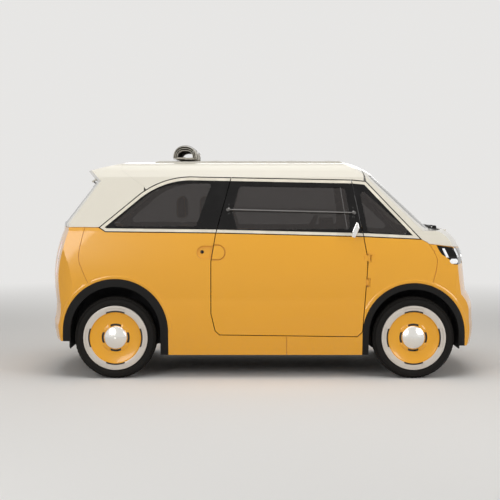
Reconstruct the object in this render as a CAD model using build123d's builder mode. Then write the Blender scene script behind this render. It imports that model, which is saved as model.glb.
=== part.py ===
import os
from math import cos, hypot, radians, sin, sqrt

from build123d import *

# Small two-tone city car in millimetres: +X is forward, +Y is the driver's left, +Z is up.
# The origin lies on the ground below the middle of the body.

# Driving dimensions
WHEELBASE = 2100
FRONT_AXLE = 1055
REAR_AXLE = FRONT_AXLE - WHEELBASE
HALF_WIDTH = 748
TRACK = 1300
TYRE_RADIUS = 288
TYRE_WIDTH = 185
SILL_Z = 165
BELT_Z = 1040
BAND_Z = 1392
BROW_Z = 1467
CROWN_Z = 1536
WALL = 40
SHUT_GAP = 6
SEAM = 0.3
FIT = 0.3
RUNNING = 0.5
GLASS_SINK = 3
GLASS_BACK = 8
TRIM_PROUD = 1.5
TRIM_BACK = 5

# Form of the body
PLAN_RADIUS = 2300
CORNER_RADIUS = 300
SIDE_CLEAR = 12
FRONT_REACH = 507
REAR_REACH = 517
SCREEN_LEAN = 1.077
SCREEN_FOOT = FRONT_AXLE + 192
SCREEN_RISE = 369
REACH = 1200
MIDDLE = 250

# Wheels and arches
RIM_RADIUS = 228
BARREL_RADIUS = 212
DISC_RADIUS = 180
CAP_RADIUS = 77
CAP_RISE = 20
# Slots in the ring and the dish: inner radius, outer radius, width and depth
WHEEL_SLOTS = ((181, 192, 132, 24), (191, 212, 132, 9), (84, 99, 74, 48))
SPINDLE_RADIUS = 22
WHEEL_Y = TRACK / 2
FRONT_ARCH_LIFT = 27
REAR_ARCH_LIFT = 45
ARCH_INNER = TYRE_RADIUS + 28
FRONT_ARCH_OUTER = ARCH_INNER + 45
REAR_ARCH_OUTER = ARCH_INNER + 56
LINER_RADIUS = ARCH_INNER + 8
LINER_WALL = 8
HOUSE_INNER_Y = 400
KINGPIN_INSET = 22

# Sockets for a screwed towing eye
FRONT_EYE_Y = 420
REAR_EYE_Y = 455
TOW_EYE_Z = 400
TOW_EYE_RADIUS = 9
EYE_BOSS = 16
EYE_RECESS = 21
FRONT_EYE_X = (FRONT_AXLE + 407, FRONT_AXLE + 453)
REAR_EYE_X = (REAR_AXLE - 413, REAR_AXLE - 458)

# Seams, recesses and the door handle
SEAM_HALF = 2
SEAM_DEPTH = 6
RECESS_DEPTH = 14
HANDLE_PROUD = 4
HANDLE_X = (FRONT_AXLE - 1535, FRONT_AXLE - 1324)
HANDLE_Z = (835, 945)
HANDLE_BUTTON = (FRONT_AXLE - 1489, 893)
REAR_EDGE_Z = 264
FRONT_EDGE_Z = 232

# Cabin
FLOOR_Z = 300
FLOOR_THICK = 15
SEAT_Y = 330
SEAT_WIDTH = 470

F = FRONT_AXLE
R = REAR_AXLE
ARCHES = ((F, FRONT_ARCH_LIFT, FRONT_ARCH_OUTER), (R, REAR_ARCH_LIFT, REAR_ARCH_OUTER))
AXLE_OPENING_Z = TYRE_RADIUS + 124


class Mid(tuple):
    """A point that an arc passes through between the two points beside it."""


def moved_outline(points, grow):
    """The outline's points moved outward by grow, square to the runs beside each."""
    count = len(points)
    area = sum(
        points[i][0] * points[(i + 1) % count][1] - points[(i + 1) % count][0] * points[i][1] for i in range(count)
    )
    turn = 1 if area > 0 else -1
    moved = []
    for i, point in enumerate(points):
        before, after = points[i - 1], points[(i + 1) % count]
        in_run = (point[0] - before[0], point[1] - before[1])
        out_run = (after[0] - point[0], after[1] - point[1])
        in_long, out_long = hypot(*in_run), hypot(*out_run)
        n1 = (turn * in_run[1] / in_long, -turn * in_run[0] / in_long)
        n2 = (turn * out_run[1] / out_long, -turn * out_run[0] / out_long)
        scale = grow / (1 + n1[0] * n2[0] + n1[1] * n2[1])
        place = (point[0] + scale * (n1[0] + n2[0]), point[1] + scale * (n1[1] + n2[1]))
        moved.append(Mid(place) if isinstance(point, Mid) else place)
    return moved


def face_of(plane, points, grow=0.0, rounding=0.0):
    """A closed flat face through the outline, with arcs through its Mid points."""
    outline = moved_outline(points, grow) if grow else list(points)
    with BuildSketch(plane) as sketch:
        with BuildLine():
            count = len(outline)
            for i, point in enumerate(outline):
                if isinstance(point, Mid):
                    ThreePointArc(outline[i - 1], point, outline[(i + 1) % count])
                elif not isinstance(outline[(i + 1) % count], Mid):
                    Line(point, outline[(i + 1) % count])
        make_face()
        if rounding:
            fillet(sketch.vertices(), rounding)
    return sketch.sketch


def side_prism(points, grow=0.0, rounding=0.0, start=MIDDLE, end=REACH):
    """The side-view outline made a block on the right-hand side of the car."""
    with BuildPart() as prism:
        extrude(face_of(Plane.XZ.offset(start), points, grow, rounding), amount=end - start)
    return prism.part


def full_prism(points, grow=0.0, rounding=0.0):
    """The side-view outline made a block right across the car."""
    with BuildPart() as prism:
        extrude(face_of(Plane.XZ, points, grow, rounding), amount=REACH, both=True)
    return prism.part


def both_sides(piece):
    """A right-hand piece with its mirror image on the left."""
    with BuildPart() as pair:
        add(piece)
        mirror(piece, about=Plane.XZ)
    return pair.part


FRONT_PROFILE = [
    (F + 464, SILL_Z),
    Mid((F + 498, 260)),
    (F + 503, 400),
    (F + 501, 490),
    Mid((F + 484, 550)),
    (F + 455, 596),
    Mid((F + 441, 715)),
    (F + 428, 848),
    Mid((F + 416, 890)),
    (F + 398, 925),
    Mid((F + 352, 995)),
    (F + 286, BELT_Z),
    (SCREEN_FOOT, BELT_Z),
    (SCREEN_FOOT - SCREEN_LEAN * SCREEN_RISE, BELT_Z + SCREEN_RISE),
    Mid((F - 333, 1496)),
    (F - 560, 1530),
    Mid((F - 900, CROWN_Z - 1)),
]
REAR_PROFILE = [
    (R - 460, SILL_Z),
    Mid((R - 505, 282)),
    (R - 515, 377),
    Mid((R - 503, 450)),
    (R - 500, 520),
    Mid((R - 508, 600)),
    (R - 514, 700),
    Mid((R - 495, 873)),
    (R - 442, BELT_Z),
    (R - 436, 1091),
    (R - 202, BAND_Z),
    (R - 260, BROW_Z),
    Mid((R - 80, 1510)),
    (R + 110, 1533),
    Mid((R + 500, CROWN_Z - 1)),
]
CROSS_PROFILE = [
    (-HALF_WIDTH + 33, SILL_Z),
    (HALF_WIDTH - 33, SILL_Z),
    Mid((HALF_WIDTH - 5, 350)),
    (HALF_WIDTH, 560),
    Mid((HALF_WIDTH - 4, 800)),
    (HALF_WIDTH - 48, BELT_Z),
    (HALF_WIDTH - 173, 1420),
    (HALF_WIDTH - 195, BROW_Z),
    Mid((HALF_WIDTH - 228, 1503)),
    (HALF_WIDTH - 293, 1520),
    Mid((0, CROWN_Z)),
    (-HALF_WIDTH + 293, 1520),
    Mid((-HALF_WIDTH + 228, 1503)),
    (-HALF_WIDTH + 195, BROW_Z),
    (-HALF_WIDTH + 173, 1420),
    (-HALF_WIDTH + 48, BELT_Z),
    Mid((-HALF_WIDTH + 4, 800)),
    (-HALF_WIDTH, 560),
    Mid((-HALF_WIDTH + 5, 350)),
]


def turned_profile(points, axis_x, inset):
    """A side-view profile turned about a post, so that each end is curved in plan."""
    outline = [(axis_x, SILL_Z)] + list(points) + [(axis_x, CROWN_Z)]
    moved = moved_outline(outline, -inset) if inset else outline
    first, last = (axis_x, moved[0][1]), (axis_x, moved[-1][1])
    with BuildPart() as turned:
        revolve(face_of(Plane.XZ, [first] + moved[1:-1] + [last]), axis=Axis((axis_x, 0, 0), (0, 0, 1)))
    return turned.part


def body_form(inset):
    """The whole closed outer form, drawn in by the inset."""
    ends = ((F + FRONT_REACH), (R - REAR_REACH))
    length = ends[0] - ends[1] + 2 * SIDE_CLEAR
    with BuildPart() as form:
        with BuildSketch():
            with Locations(((ends[0] + ends[1]) / 2, 0)):
                RectangleRounded(length - 2 * inset, 2 * (HALF_WIDTH + SIDE_CLEAR - inset), CORNER_RADIUS)
        extrude(amount=CROWN_Z + REACH)
        cross = face_of(Plane.YZ.offset(-2 * REACH), CROSS_PROFILE, -inset)
        extrude(cross, amount=4 * REACH, mode=Mode.INTERSECT)
        add(turned_profile(FRONT_PROFILE, F + 503 - PLAN_RADIUS, inset), mode=Mode.INTERSECT)
        add(turned_profile(REAR_PROFILE, R - 515 + PLAN_RADIUS, inset), mode=Mode.INTERSECT)
    return form.part


def layer(outer_inset, inner_inset):
    """The skin between two insets."""
    with BuildPart() as skin:
        add(body_form(outer_inset))
        add(body_form(inner_inset), mode=Mode.SUBTRACT)
    return skin.part


# Side-view outlines
GREENHOUSE = [
    (R - 121, 1063),
    (R + 130, 1272),
    Mid((R + 309, 1383)),
    (R + 555, 1424),
    (F - 427, 1402),
    (F - 327, 1392),
    (F + 58, 978),
    (F - 351, 997),
    (F - 1398, 1022),
    (R - 71, 1031),
]
DOOR = [
    (F - 1288, 1424),
    (F - 1397, 1022),
    (F - 1430, 830),
    (F - 1430, 460),
    (F - 1400, 335),
    (F - 1368, 306),
    (F - 395, 293),
    (F - 358, 330),
    (F - 321, 830),
    (F - 349, 997),
    (F - 429, 1402),
]
DOOR_BELT_CUT = [(F - 1500, 1024.4), (F - 200, 993.4), (F - 200, 100), (F - 1500, 100)]
QUARTER_WINDOW = [
    (F - 1423, 1380),
    (F - 1533, 1072),
    (R - 45, 1072),
    (R + 145, 1232),
    Mid((R + 300, 1335)),
    (R + 470, 1374),
]
DOOR_WINDOW = [(F - 1229, 1355), (F - 1278, 1174), (F - 1243, 1052), (F - 448, 1052), (F - 453, 1182), (F - 479, 1343)]
FRONT_WINDOW = [(F - 380, 1354), (F - 324, 1033), (F - 8, 1014)]
WINDOW_ROUNDING = 22
WING_SEAM = [(F + 105, 949), (F + 139, 900), (F + 164, 835), (F + 153, 763), (F + 124, 655), (F + 124, 100)]
TAIL_SEAM = [
    (R - 214, 1066),
    (R - 232, 997),
    (R - 250, 917),
    (R - 256, 864),
    (R - 250, 817),
    (R - 228, 763),
    (R - 204, 705),
    (R - 182, 662),
    (R - 182, 100),
]
VISOR_EDGE = [(F + 392, 918), (F + 344, 920), (F + 182, 941), (F + 105, 949), (F + 94, 959), (F + 58, 978)]
SILL_SEAM_X = F - 894
NOSE_X = F + REACH / 2
TAIL_X = R - REACH / 2
ROOF_TOP = CROWN_Z + REACH / 4

BUMPER_REGION = WING_SEAM + [(NOSE_X, 100), (NOSE_X, 918)] + VISOR_EDGE[:3]
TAIL_REGION = TAIL_SEAM + [(TAIL_X, 100), (TAIL_X, 1066)]
WING_REGION = (
    [(SILL_SEAM_X, 100), (SILL_SEAM_X, 400), (F - 500, 400), (F - 500, 1000.6), (F - 351, 997)]
    + [VISOR_EDGE[5], VISOR_EDGE[4]]
    + WING_SEAM
)
QUARTER_REGION = [
    (R - 182, 100),
    (R - 182, 662),
    *reversed(TAIL_SEAM[:7]),
    (R - 121, 1063),
    (R - 71, 1031),
    (F - 1398, 1022),
    (F - 1300, 1020),
    (F - 1300, 400),
    (SILL_SEAM_X, 400),
    (SILL_SEAM_X, 100),
]
COWL_REGION = [(F + 58, 978), (F + 0.3, BELT_Z), (NOSE_X, BELT_Z), (NOSE_X, 918)] + VISOR_EDGE[:5]
SCREEN_REGION = [
    (F + 0.3, BELT_Z),
    (F - 327, BAND_Z),
    (F - 343, 1497),
    (F - 343, ROOF_TOP),
    (NOSE_X, ROOF_TOP),
    (NOSE_X, BELT_Z),
]
ROOF_REGION = [
    (F - 343, 1200),
    (F - 343, ROOF_TOP),
    (R + 31, ROOF_TOP),
    (R + 31, 1470),
    (R + 194, 1350),
    (R + 300, 1200),
]
PILLAR_REGION = [
    (R + 31, ROOF_TOP),
    (R + 31, 1470),
    (R + 194, 1350),
    (R + 194, 1066),
    (TAIL_X, 1066),
    (TAIL_X, ROOF_TOP),
]
SCREEN_GLASS = [(-600, 1052), (600, 1052), (480, 1432), (-480, 1432)]
TAILGATE = [
    (-485, 500),
    (485, 500),
    (505, 1000),
    (585, 1078),
    (500, BAND_Z - 2),
    (-500, BAND_Z - 2),
    (-585, 1078),
    (-505, 1000),
]
TAIL_GLASS = [(-555, 1098), (555, 1098), (484, 1352), (-484, 1352)]
HEADLAMP = [(F + 215, 806), (NOSE_X, 806), (NOSE_X, 911), (F + 344, 911), (F + 215, 925)]
HEADLAMP_Y = 345
INTAKE = [(-380, 330), (380, 330), (400, 510), (-400, 510)]
BONNET_HALF = 370
BONNET_REAR = F + 280
BONNET_FRONT_Z = 926


def arch_outline(axle_x, lift, radius):
    """A wheel arch: half a circle on two straight legs."""
    middle, height = axle_x, TYRE_RADIUS + lift
    return [
        (middle - radius, 100),
        (middle - radius, height),
        Mid((middle, height + radius)),
        (middle + radius, height),
        (middle + radius, 100),
    ]


def right_piece(solid, region, cuts=(), grow=-SEAM):
    """The part of a solid inside a side-view region on the right, less some blocks."""
    with BuildPart() as piece:
        add(solid)
        add(side_prism(region, grow), mode=Mode.INTERSECT)
        for cut in cuts:
            add(cut, mode=Mode.SUBTRACT)
    return piece.part


def across_piece(solid, region, cuts=(), grow=-SEAM):
    """The part of a solid inside a side-view region right across the car, less some blocks."""
    with BuildPart() as piece:
        add(solid)
        add(full_prism(region, grow), mode=Mode.INTERSECT)
        for cut in cuts:
            add(cut, mode=Mode.SUBTRACT)
    return piece.part


def end_prism(points, grow=0.0, rounding=0.0, rear=True):
    """A rear-view or front-view outline made a block through one end of the car."""
    with BuildPart() as prism:
        if rear:
            extrude(face_of(Plane.YZ.offset(R), points, grow, rounding), amount=-REACH)
        else:
            extrude(face_of(Plane.YZ.offset(F - 500), points, grow, rounding), amount=2 * REACH)
    return prism.part


def write(part, name):
    """Label a piece and write it."""
    part.label = name
    export_step(part, f"parts/{name}.step")


def box(low, high):
    """A plain block between two corners."""
    with BuildPart() as block:
        with Locations(tuple((a + b) / 2 for a, b in zip(low, high))):
            Box(*(b - a for a, b in zip(low, high)))
    return block.part


def joined(*pieces, cuts=(), within=None):
    """Pieces fused, less some blocks and kept within a form."""
    with BuildPart() as whole:
        for piece in pieces:
            add(piece)
        for cut in cuts:
            add(cut, mode=Mode.SUBTRACT)
        if within is not None:
            add(within, mode=Mode.INTERSECT)
    return whole.part


def rod(start, end, radius):
    """A round bar between two points."""
    start, end = Vector(*start), Vector(*end)
    with BuildPart() as bar:
        with BuildSketch(Plane(origin=start, z_dir=end - start)):
            Circle(radius)
        extrude(amount=(end - start).length)
    return bar.part


def left_of(piece):
    """The mirror image of a right-hand piece."""
    with BuildPart() as copy:
        mirror(piece, about=Plane.XZ)
    return copy.part


def seam_outline(points, half):
    """A thin outline that follows an open line of points."""
    left, right = [], []
    for i, point in enumerate(points):
        before, after = points[max(i - 1, 0)], points[min(i + 1, len(points) - 1)]
        along = (after[0] - before[0], after[1] - before[1])
        scale = half / hypot(*along)
        left.append((point[0] - along[1] * scale, point[1] + along[0] * scale))
        right.append((point[0] + along[1] * scale, point[1] - along[0] * scale))
    return left + right[::-1]


def groove(points):
    """A shallow groove along a seam on the right-hand side."""
    return joined(groove_skin, within=side_prism(seam_outline(points, SEAM_HALF)))


def pill(grow):
    """The handle's outline made a block on the right-hand side."""
    width, height = HANDLE_SIZE[0] + 2 * grow, HANDLE_SIZE[1] + 2 * grow
    with BuildPart() as block:
        with BuildSketch(Plane.XZ.offset(MIDDLE)):
            with Locations(HANDLE_MIDDLE):
                SlotOverall(width, height)
        extrude(amount=REACH - MIDDLE)
    return block.part


def tow_eye(reach, y, beyond_x):
    """The boss of a towing-eye socket, and its bore with the recess for a cover."""
    inner, outer = reach
    boss = rod((inner, y, TOW_EYE_Z), (outer, y, TOW_EYE_Z), EYE_BOSS)
    bore = rod((inner - (outer - inner), y, TOW_EYE_Z), (beyond_x, y, TOW_EYE_Z), TOW_EYE_RADIUS)
    recess = rod((outer, y, TOW_EYE_Z), (beyond_x, y, TOW_EYE_Z), EYE_RECESS)
    return boss, joined(bore, recess)


# Hinges: a pin on the fixed side held by two lugs, with the moving side's barrel between them
PIN_RADIUS = 4
BARREL_OUTER = 8
POCKET_RADIUS = 14
EDGE_RADIUS = 16
HINGE_LENGTH = 60
LUG_THICK = 8
LUG_REACH = 34


def hinge(plane, turn=180):
    """Fixed half, moving half and pocket of one hinge, with its pin along the plane's normal.

    The fixed leaf points along the plane's x, and the moving leaf is turned that many degrees from it.
    """
    half = HINGE_LENGTH / 2
    barrel_half = half - LUG_THICK - 1
    with BuildPart() as fixed:
        with BuildSketch(plane.offset(-half)):
            Circle(PIN_RADIUS)
        extrude(amount=HINGE_LENGTH)
        for low in (-half, half - LUG_THICK):
            with BuildSketch(plane.offset(low)):
                Circle(BARREL_OUTER)
                with Locations((LUG_REACH / 2, 0)):
                    Rectangle(LUG_REACH, 2 * PIN_RADIUS)
            extrude(amount=LUG_THICK)
    with BuildPart() as moving:
        with BuildSketch(plane.offset(-barrel_half)):
            Circle(BARREL_OUTER)
            with PolarLocations(LUG_REACH / 2, 1, start_angle=turn):
                Rectangle(LUG_REACH, 2 * PIN_RADIUS)
            Circle(PIN_RADIUS + FIT, mode=Mode.SUBTRACT)
        extrude(amount=2 * barrel_half)
    with BuildPart() as pocket:
        with BuildSketch(plane.offset(-half - 1)):
            Circle(POCKET_RADIUS)
        extrude(amount=HINGE_LENGTH + 2)
    return fixed.part, moving.part, pocket.part


DOOR_HINGE_X = F - 315
DOOR_HINGE_Y = HALF_WIDTH - 10
DOOR_HINGE_Z = (680, 850)
LID_HINGE_Y = 220
BONNET_HINGE = (BONNET_REAR - 12, BELT_Z - 8)
TAIL_HINGE = (R - 214, BAND_Z)


def wheelhouse(axle_x, lift):
    """Right-hand wheelhouse: a thin arch closed on its inner side, open where the axle comes through."""
    outer = side_prism(arch_outline(axle_x, lift, LINER_RADIUS + LINER_WALL), start=HOUSE_INNER_Y - LINER_WALL)
    inner = side_prism(arch_outline(axle_x, lift, LINER_RADIUS), start=HOUSE_INNER_Y)
    below = box((axle_x - REACH, -REACH, 0), (axle_x + REACH, 0, SILL_Z))
    opening = box((axle_x - 150, -REACH, 0), (axle_x + 150, 0, AXLE_OPENING_Z))
    with BuildPart() as house:
        add(outer)
        add(inner, mode=Mode.SUBTRACT)
        add(below, mode=Mode.SUBTRACT)
        add(opening, mode=Mode.SUBTRACT)
        add(cabin_space, mode=Mode.INTERSECT)
    return house.part


def tyre(axle_x, side):
    """A tyre; side is -1 on the right."""
    half = TYRE_WIDTH / 2
    outline = [
        (BARREL_RADIUS + 2, half - 9),
        (RIM_RADIUS + 4, half - 3),
        Mid((RIM_RADIUS + 28, half)),
        (TYRE_RADIUS - 12, half - 16),
        Mid((TYRE_RADIUS - 3, half - 24)),
        (TYRE_RADIUS, half - 36),
        (TYRE_RADIUS, 36 - half),
        Mid((TYRE_RADIUS - 3, 24 - half)),
        (TYRE_RADIUS - 12, 16 - half),
        Mid((RIM_RADIUS + 28, -half)),
        (RIM_RADIUS + 4, 3 - half),
        (RIM_RADIUS, 4.5 - half),
        (RIM_RADIUS, 16 - half),
        (BARREL_RADIUS + 2, 16 - half),
    ]
    with BuildPart() as ring:
        revolve(face_of(Plane.XY, outline), axis=Axis.Y)
    return placed_wheel(ring.part, axle_x, side)


def placed_wheel(piece, axle_x, side):
    """A piece made about the Y axis with its outer face towards -Y, moved to its hub."""
    place = Pos(axle_x, -WHEEL_Y, TYRE_RADIUS) * piece
    return place if side < 0 else left_of(place)


def wheel(axle_x, side):
    """Rim ring, dished disc and domed cap in one pressing."""
    half = TYRE_WIDTH / 2
    bore = SPINDLE_RADIUS + RUNNING
    dome_radius = (CAP_RADIUS**2 + CAP_RISE**2) / (2 * CAP_RISE)
    outline = [
        (bore, -30),
        (bore, 0),
        (60, 0),
        (64, -28),
        (118, -44),
        (BARREL_RADIUS - 14, -50),
        (BARREL_RADIUS - 12, half - 12),
        (BARREL_RADIUS, half - 12),
        (BARREL_RADIUS + 1.7, half - 14),
        (BARREL_RADIUS + 1.7, 15.6 - half),
        (RIM_RADIUS - 0.4, 15.6 - half),
        (RIM_RADIUS - 2, 5 - half),
        Mid((BARREL_RADIUS - 8, 3 - half)),
        (DISC_RADIUS + 2, 7 - half),
        (DISC_RADIUS - 4, 16 - half),
        Mid((140, 27 - half)),
        (CAP_RADIUS + 14, 30 - half),
        (CAP_RADIUS + 4, 24 - half),
        (CAP_RADIUS, CAP_RISE - half),
        Mid((CAP_RADIUS / 2, -half + dome_radius - sqrt(dome_radius**2 - CAP_RADIUS**2 / 4))),
        (0, -half),
        (0, -30),
    ]
    with BuildPart() as pressing:
        revolve(face_of(Plane.XY, outline), axis=Axis.Y)
        for inner, outer, width, depth in WHEEL_SLOTS:
            with BuildSketch(Plane.XZ.offset(half)):
                Rectangle(2 * outer, width)
                Rectangle(width, 2 * outer)
                Circle(outer, mode=Mode.INTERSECT)
                Circle(inner, mode=Mode.SUBTRACT)
            extrude(amount=-depth, mode=Mode.SUBTRACT)
    return placed_wheel(pressing.part, axle_x, side)


KINGPIN_Y = WHEEL_Y - KINGPIN_INSET
ARM_RISE = 96
BALL_RADIUS = 15


def knuckle():
    """Right-hand steered upright with its spindle."""
    y, z = -KINGPIN_Y, TYRE_RADIUS
    upright = box((F - 26, y - 16, z - ARM_RISE + 22), (F + 26, y + 16, z + ARM_RISE - 22))
    spindle = rod((F, y, z), (F, -WHEEL_Y - 28, z), SPINDLE_RADIUS)
    steering_arm = box((F - 120, y - 2, z - 50), (F - 20, y + 14, z - 34))
    pins = rod((F, y, z - ARM_RISE + 6), (F, y, z + ARM_RISE - 6), 9)
    return joined(upright, spindle, steering_arm, pins)


def front_arms():
    """Right-hand upper and lower arms, spring and damper of the front axle."""
    y, pieces = -KINGPIN_Y, []
    for level, inner in ((TYRE_RADIUS - ARM_RISE, 360), (TYRE_RADIUS + ARM_RISE, 380)):
        sign = -1 if level < TYRE_RADIUS else 1
        cup = rod((F, y, level - 10 + 2 * sign), (F, y, level + 10 + 2 * sign), 20)
        for spread in (-110, 110):
            pieces.append(rod((F, y, level + 2 * sign), (F + spread, -inner, level + 2 * sign), 9))
        pieces.append(cup)
    socket = rod((F, y, TYRE_RADIUS - ARM_RISE - 20), (F, y, TYRE_RADIUS + ARM_RISE + 20), 9 + FIT)
    return joined(*pieces, cuts=[socket])


# Sheet and shell layers
os.makedirs("parts", exist_ok=True)
outer_form = body_form(0)
cabin_form = body_form(WALL)
cabin_space = body_form(WALL + FIT)
shell = joined(outer_form, cuts=[cabin_form])
glass_skin = layer(GLASS_SINK, GLASS_BACK)
trim_skin = layer(-TRIM_PROUD, TRIM_BACK)

floor_block = box((R - 430, -HALF_WIDTH + 92, 0), (F + 420, HALF_WIDTH - 92, SILL_Z + WALL + 2))
door_hole = side_prism(DOOR)
greenhouse = side_prism(GREENHOUSE)
greenhouse_pair = both_sides(greenhouse)
front_arch = side_prism(arch_outline(F, FRONT_ARCH_LIFT, FRONT_ARCH_OUTER))
rear_arch = side_prism(arch_outline(R, REAR_ARCH_LIFT, REAR_ARCH_OUTER))
front_arches = both_sides(front_arch)
rear_arches = both_sides(rear_arch)
tailgate_hole = end_prism(TAILGATE)
bonnet_block = box((BONNET_REAR, -BONNET_HALF, BONNET_FRONT_Z), (NOSE_X, BONNET_HALF, ROOF_TOP))
bonnet_hole = box(
    (BONNET_REAR - SHUT_GAP, -BONNET_HALF - SHUT_GAP, BONNET_FRONT_Z - SHUT_GAP),
    (NOSE_X, BONNET_HALF + SHUT_GAP, ROOF_TOP),
)

# Hinges
door_hinges = [
    hinge(Plane(origin=(DOOR_HINGE_X, -DOOR_HINGE_Y, z), x_dir=(1, 0, 0), z_dir=(0, 0, 1))) for z in DOOR_HINGE_Z
]
bonnet_hinges = [
    hinge(Plane(origin=(BONNET_HINGE[0], y, BONNET_HINGE[1]), x_dir=(-1, 0, 0), z_dir=(0, 1, 0)))
    for y in (-LID_HINGE_Y, LID_HINGE_Y)
]
tail_hinges = [
    hinge(Plane(origin=(TAIL_HINGE[0], y, TAIL_HINGE[1]), x_dir=(0.791, 0, 0.612), z_dir=(0, 1, 0)), turn=75.6)
    for y in (-LID_HINGE_Y, LID_HINGE_Y)
]
door_pockets = [part[2] for part in door_hinges]
leaf_sweeps = [
    box(
        (DOOR_HINGE_X - LUG_REACH, -DOOR_HINGE_Y - 20, z - HINGE_LENGTH / 2 - 1),
        (DOOR_HINGE_X, -DOOR_HINGE_Y + 10, z + HINGE_LENGTH / 2 + 1),
    )
    for z in DOOR_HINGE_Z
]
door_edge = rod((DOOR_HINGE_X, -DOOR_HINGE_Y, 250), (DOOR_HINGE_X, -DOOR_HINGE_Y, 930), EDGE_RADIUS)
bonnet_edge = rod(
    (BONNET_HINGE[0], -BONNET_HALF, BONNET_HINGE[1]), (BONNET_HINGE[0], BONNET_HALF, BONNET_HINGE[1]), EDGE_RADIUS
)
bonnet_pockets = [part[2] for part in bonnet_hinges]
tail_pockets = [part[2] for part in tail_hinges]

# Headlamps and tail lamps
lamp_hole = both_sides(side_prism(HEADLAMP, start=HEADLAMP_Y))
TAIL_LAMP = [(-625, 745), (-625, 940), Mid((-595, 970)), (-565, 940), (-565, 745), Mid((-595, 715))]
tail_lamp_hole = both_sides(end_prism(TAIL_LAMP))

# Body panels
groove_skin = layer(-TRIM_PROUD, SEAM_DEPTH)
recess_skin = layer(-TRIM_PROUD, RECESS_DEPTH)
sill_line = [(SILL_SEAM_X, 100), (SILL_SEAM_X, 400)]
tail_line = [(TAIL_X, 1066), (R - 214, 1066), (R - 121, 1063)]
front_grooves = [groove(WING_SEAM), groove(VISOR_EDGE), groove(sill_line)]
rear_grooves = [groove(TAIL_SEAM), groove(tail_line), groove(sill_line)]
front_skirt = box((F + 250, -REACH, 0), (NOSE_X, REACH, FRONT_EDGE_Z))
rear_skirt = box((TAIL_X, -REACH, 0), (R - 250, REACH, REAR_EDGE_Z))
wing_cuts = [door_hole, front_arch, floor_block, *door_pockets, *leaf_sweeps, *front_grooves]
wing = right_piece(shell, WING_REGION, wing_cuts)
front_wing_right = joined(wing, *(part[0] for part in door_hinges))
write(front_wing_right, "front_wing_right")
write(left_of(front_wing_right), "front_wing_left")
HANDLE_MIDDLE = ((HANDLE_X[0] + HANDLE_X[1]) / 2, (HANDLE_Z[0] + HANDLE_Z[1]) / 2)
HANDLE_SIZE = (HANDLE_X[1] - HANDLE_X[0], HANDLE_Z[1] - HANDLE_Z[0])
handle_dish = joined(recess_skin, within=pill(0))
handle_hole = joined(recess_skin, within=pill(-9))
button_x, button_z = HANDLE_BUTTON
button_hole = rod((button_x, -HALF_WIDTH + 24, button_z), (button_x, -REACH, button_z), 14)
quarter_cuts = [door_hole, rear_arch, floor_block, handle_hole, button_hole, *rear_grooves]
quarter = right_piece(shell, QUARTER_REGION, quarter_cuts)
write(quarter, "quarter_panel_right")
write(left_of(quarter), "quarter_panel_left")
front_boss, front_eye = tow_eye(FRONT_EYE_X, -FRONT_EYE_Y, NOSE_X)
rear_boss, rear_eye = tow_eye(REAR_EYE_X, -REAR_EYE_Y, TAIL_X)
intake = joined(recess_skin, within=end_prism(INTAKE, rounding=30, rear=False))
nose_cuts = [front_arches, floor_block, lamp_hole, bonnet_hole, front_skirt, intake, *map(both_sides, front_grooves[:2])]
tail_cuts = [rear_arches, floor_block, tail_lamp_hole, tailgate_hole, rear_skirt, *map(both_sides, rear_grooves[:2])]
write(joined(across_piece(shell, BUMPER_REGION, nose_cuts), front_boss, cuts=[front_eye]), "front_bumper")
write(joined(across_piece(shell, TAIL_REGION, tail_cuts), rear_boss, cuts=[rear_eye]), "rear_bumper")
cowl = across_piece(shell, COWL_REGION, [lamp_hole, bonnet_hole, *bonnet_pockets, both_sides(front_grooves[1])])
write(joined(cowl, *(part[0] for part in bonnet_hinges)), "cowl_panel")
screen_hole = end_prism(SCREEN_GLASS, rounding=60, rear=False)
write(across_piece(shell, SCREEN_REGION, [screen_hole, greenhouse_pair]), "windscreen_frame")
write(across_piece(shell, ROOF_REGION, [greenhouse_pair]), "roof_panel")
pillar_cuts = [greenhouse_pair, tailgate_hole, tail_lamp_hole, both_sides(rear_grooves[1]), *tail_pockets]
pillars = across_piece(shell, PILLAR_REGION, pillar_cuts)
write(joined(pillars, *(part[0] for part in tail_hinges)), "rear_pillars")

# Bonnet and tailgate
bonnet = joined(shell, cuts=[*bonnet_pockets, bonnet_edge], within=bonnet_block)
write(joined(bonnet, *(part[1] for part in bonnet_hinges)), "bonnet")
tail_window = end_prism(TAIL_GLASS, rounding=60)
gate = joined(shell, cuts=[tail_window, *tail_pockets], within=end_prism(TAILGATE, grow=-SHUT_GAP))
write(joined(gate, *(part[1] for part in tail_hinges)), "tailgate")
write(joined(glass_skin, within=end_prism(TAIL_GLASS, grow=-FIT, rounding=60)), "tailgate_glass")
write(joined(glass_skin, within=end_prism(SCREEN_GLASS, grow=-FIT, rounding=60, rear=False)), "windscreen")

# Side glass and frames
quarter_hole = side_prism(QUARTER_WINDOW, rounding=WINDOW_ROUNDING)
front_hole = side_prism(FRONT_WINDOW, rounding=WINDOW_ROUNDING)
moulding_ring = joined(side_prism(GREENHOUSE, grow=-7), cuts=[side_prism(GREENHOUSE, grow=-27)])
moulding = joined(trim_skin, cuts=[door_hole], within=moulding_ring)
frame = right_piece(shell, GREENHOUSE, [door_hole, quarter_hole, front_hole, *door_pockets])
write(both_sides(joined(frame, cuts=[moulding])), "side_frames")
write(both_sides(moulding), "window_mouldings")
side_panes = [
    joined(glass_skin, within=side_prism(QUARTER_WINDOW, grow=-FIT, rounding=WINDOW_ROUNDING)),
    joined(glass_skin, within=side_prism(FRONT_WINDOW, grow=-FIT, rounding=WINDOW_ROUNDING)),
]
write(both_sides(joined(*side_panes)), "side_glass")

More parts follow.
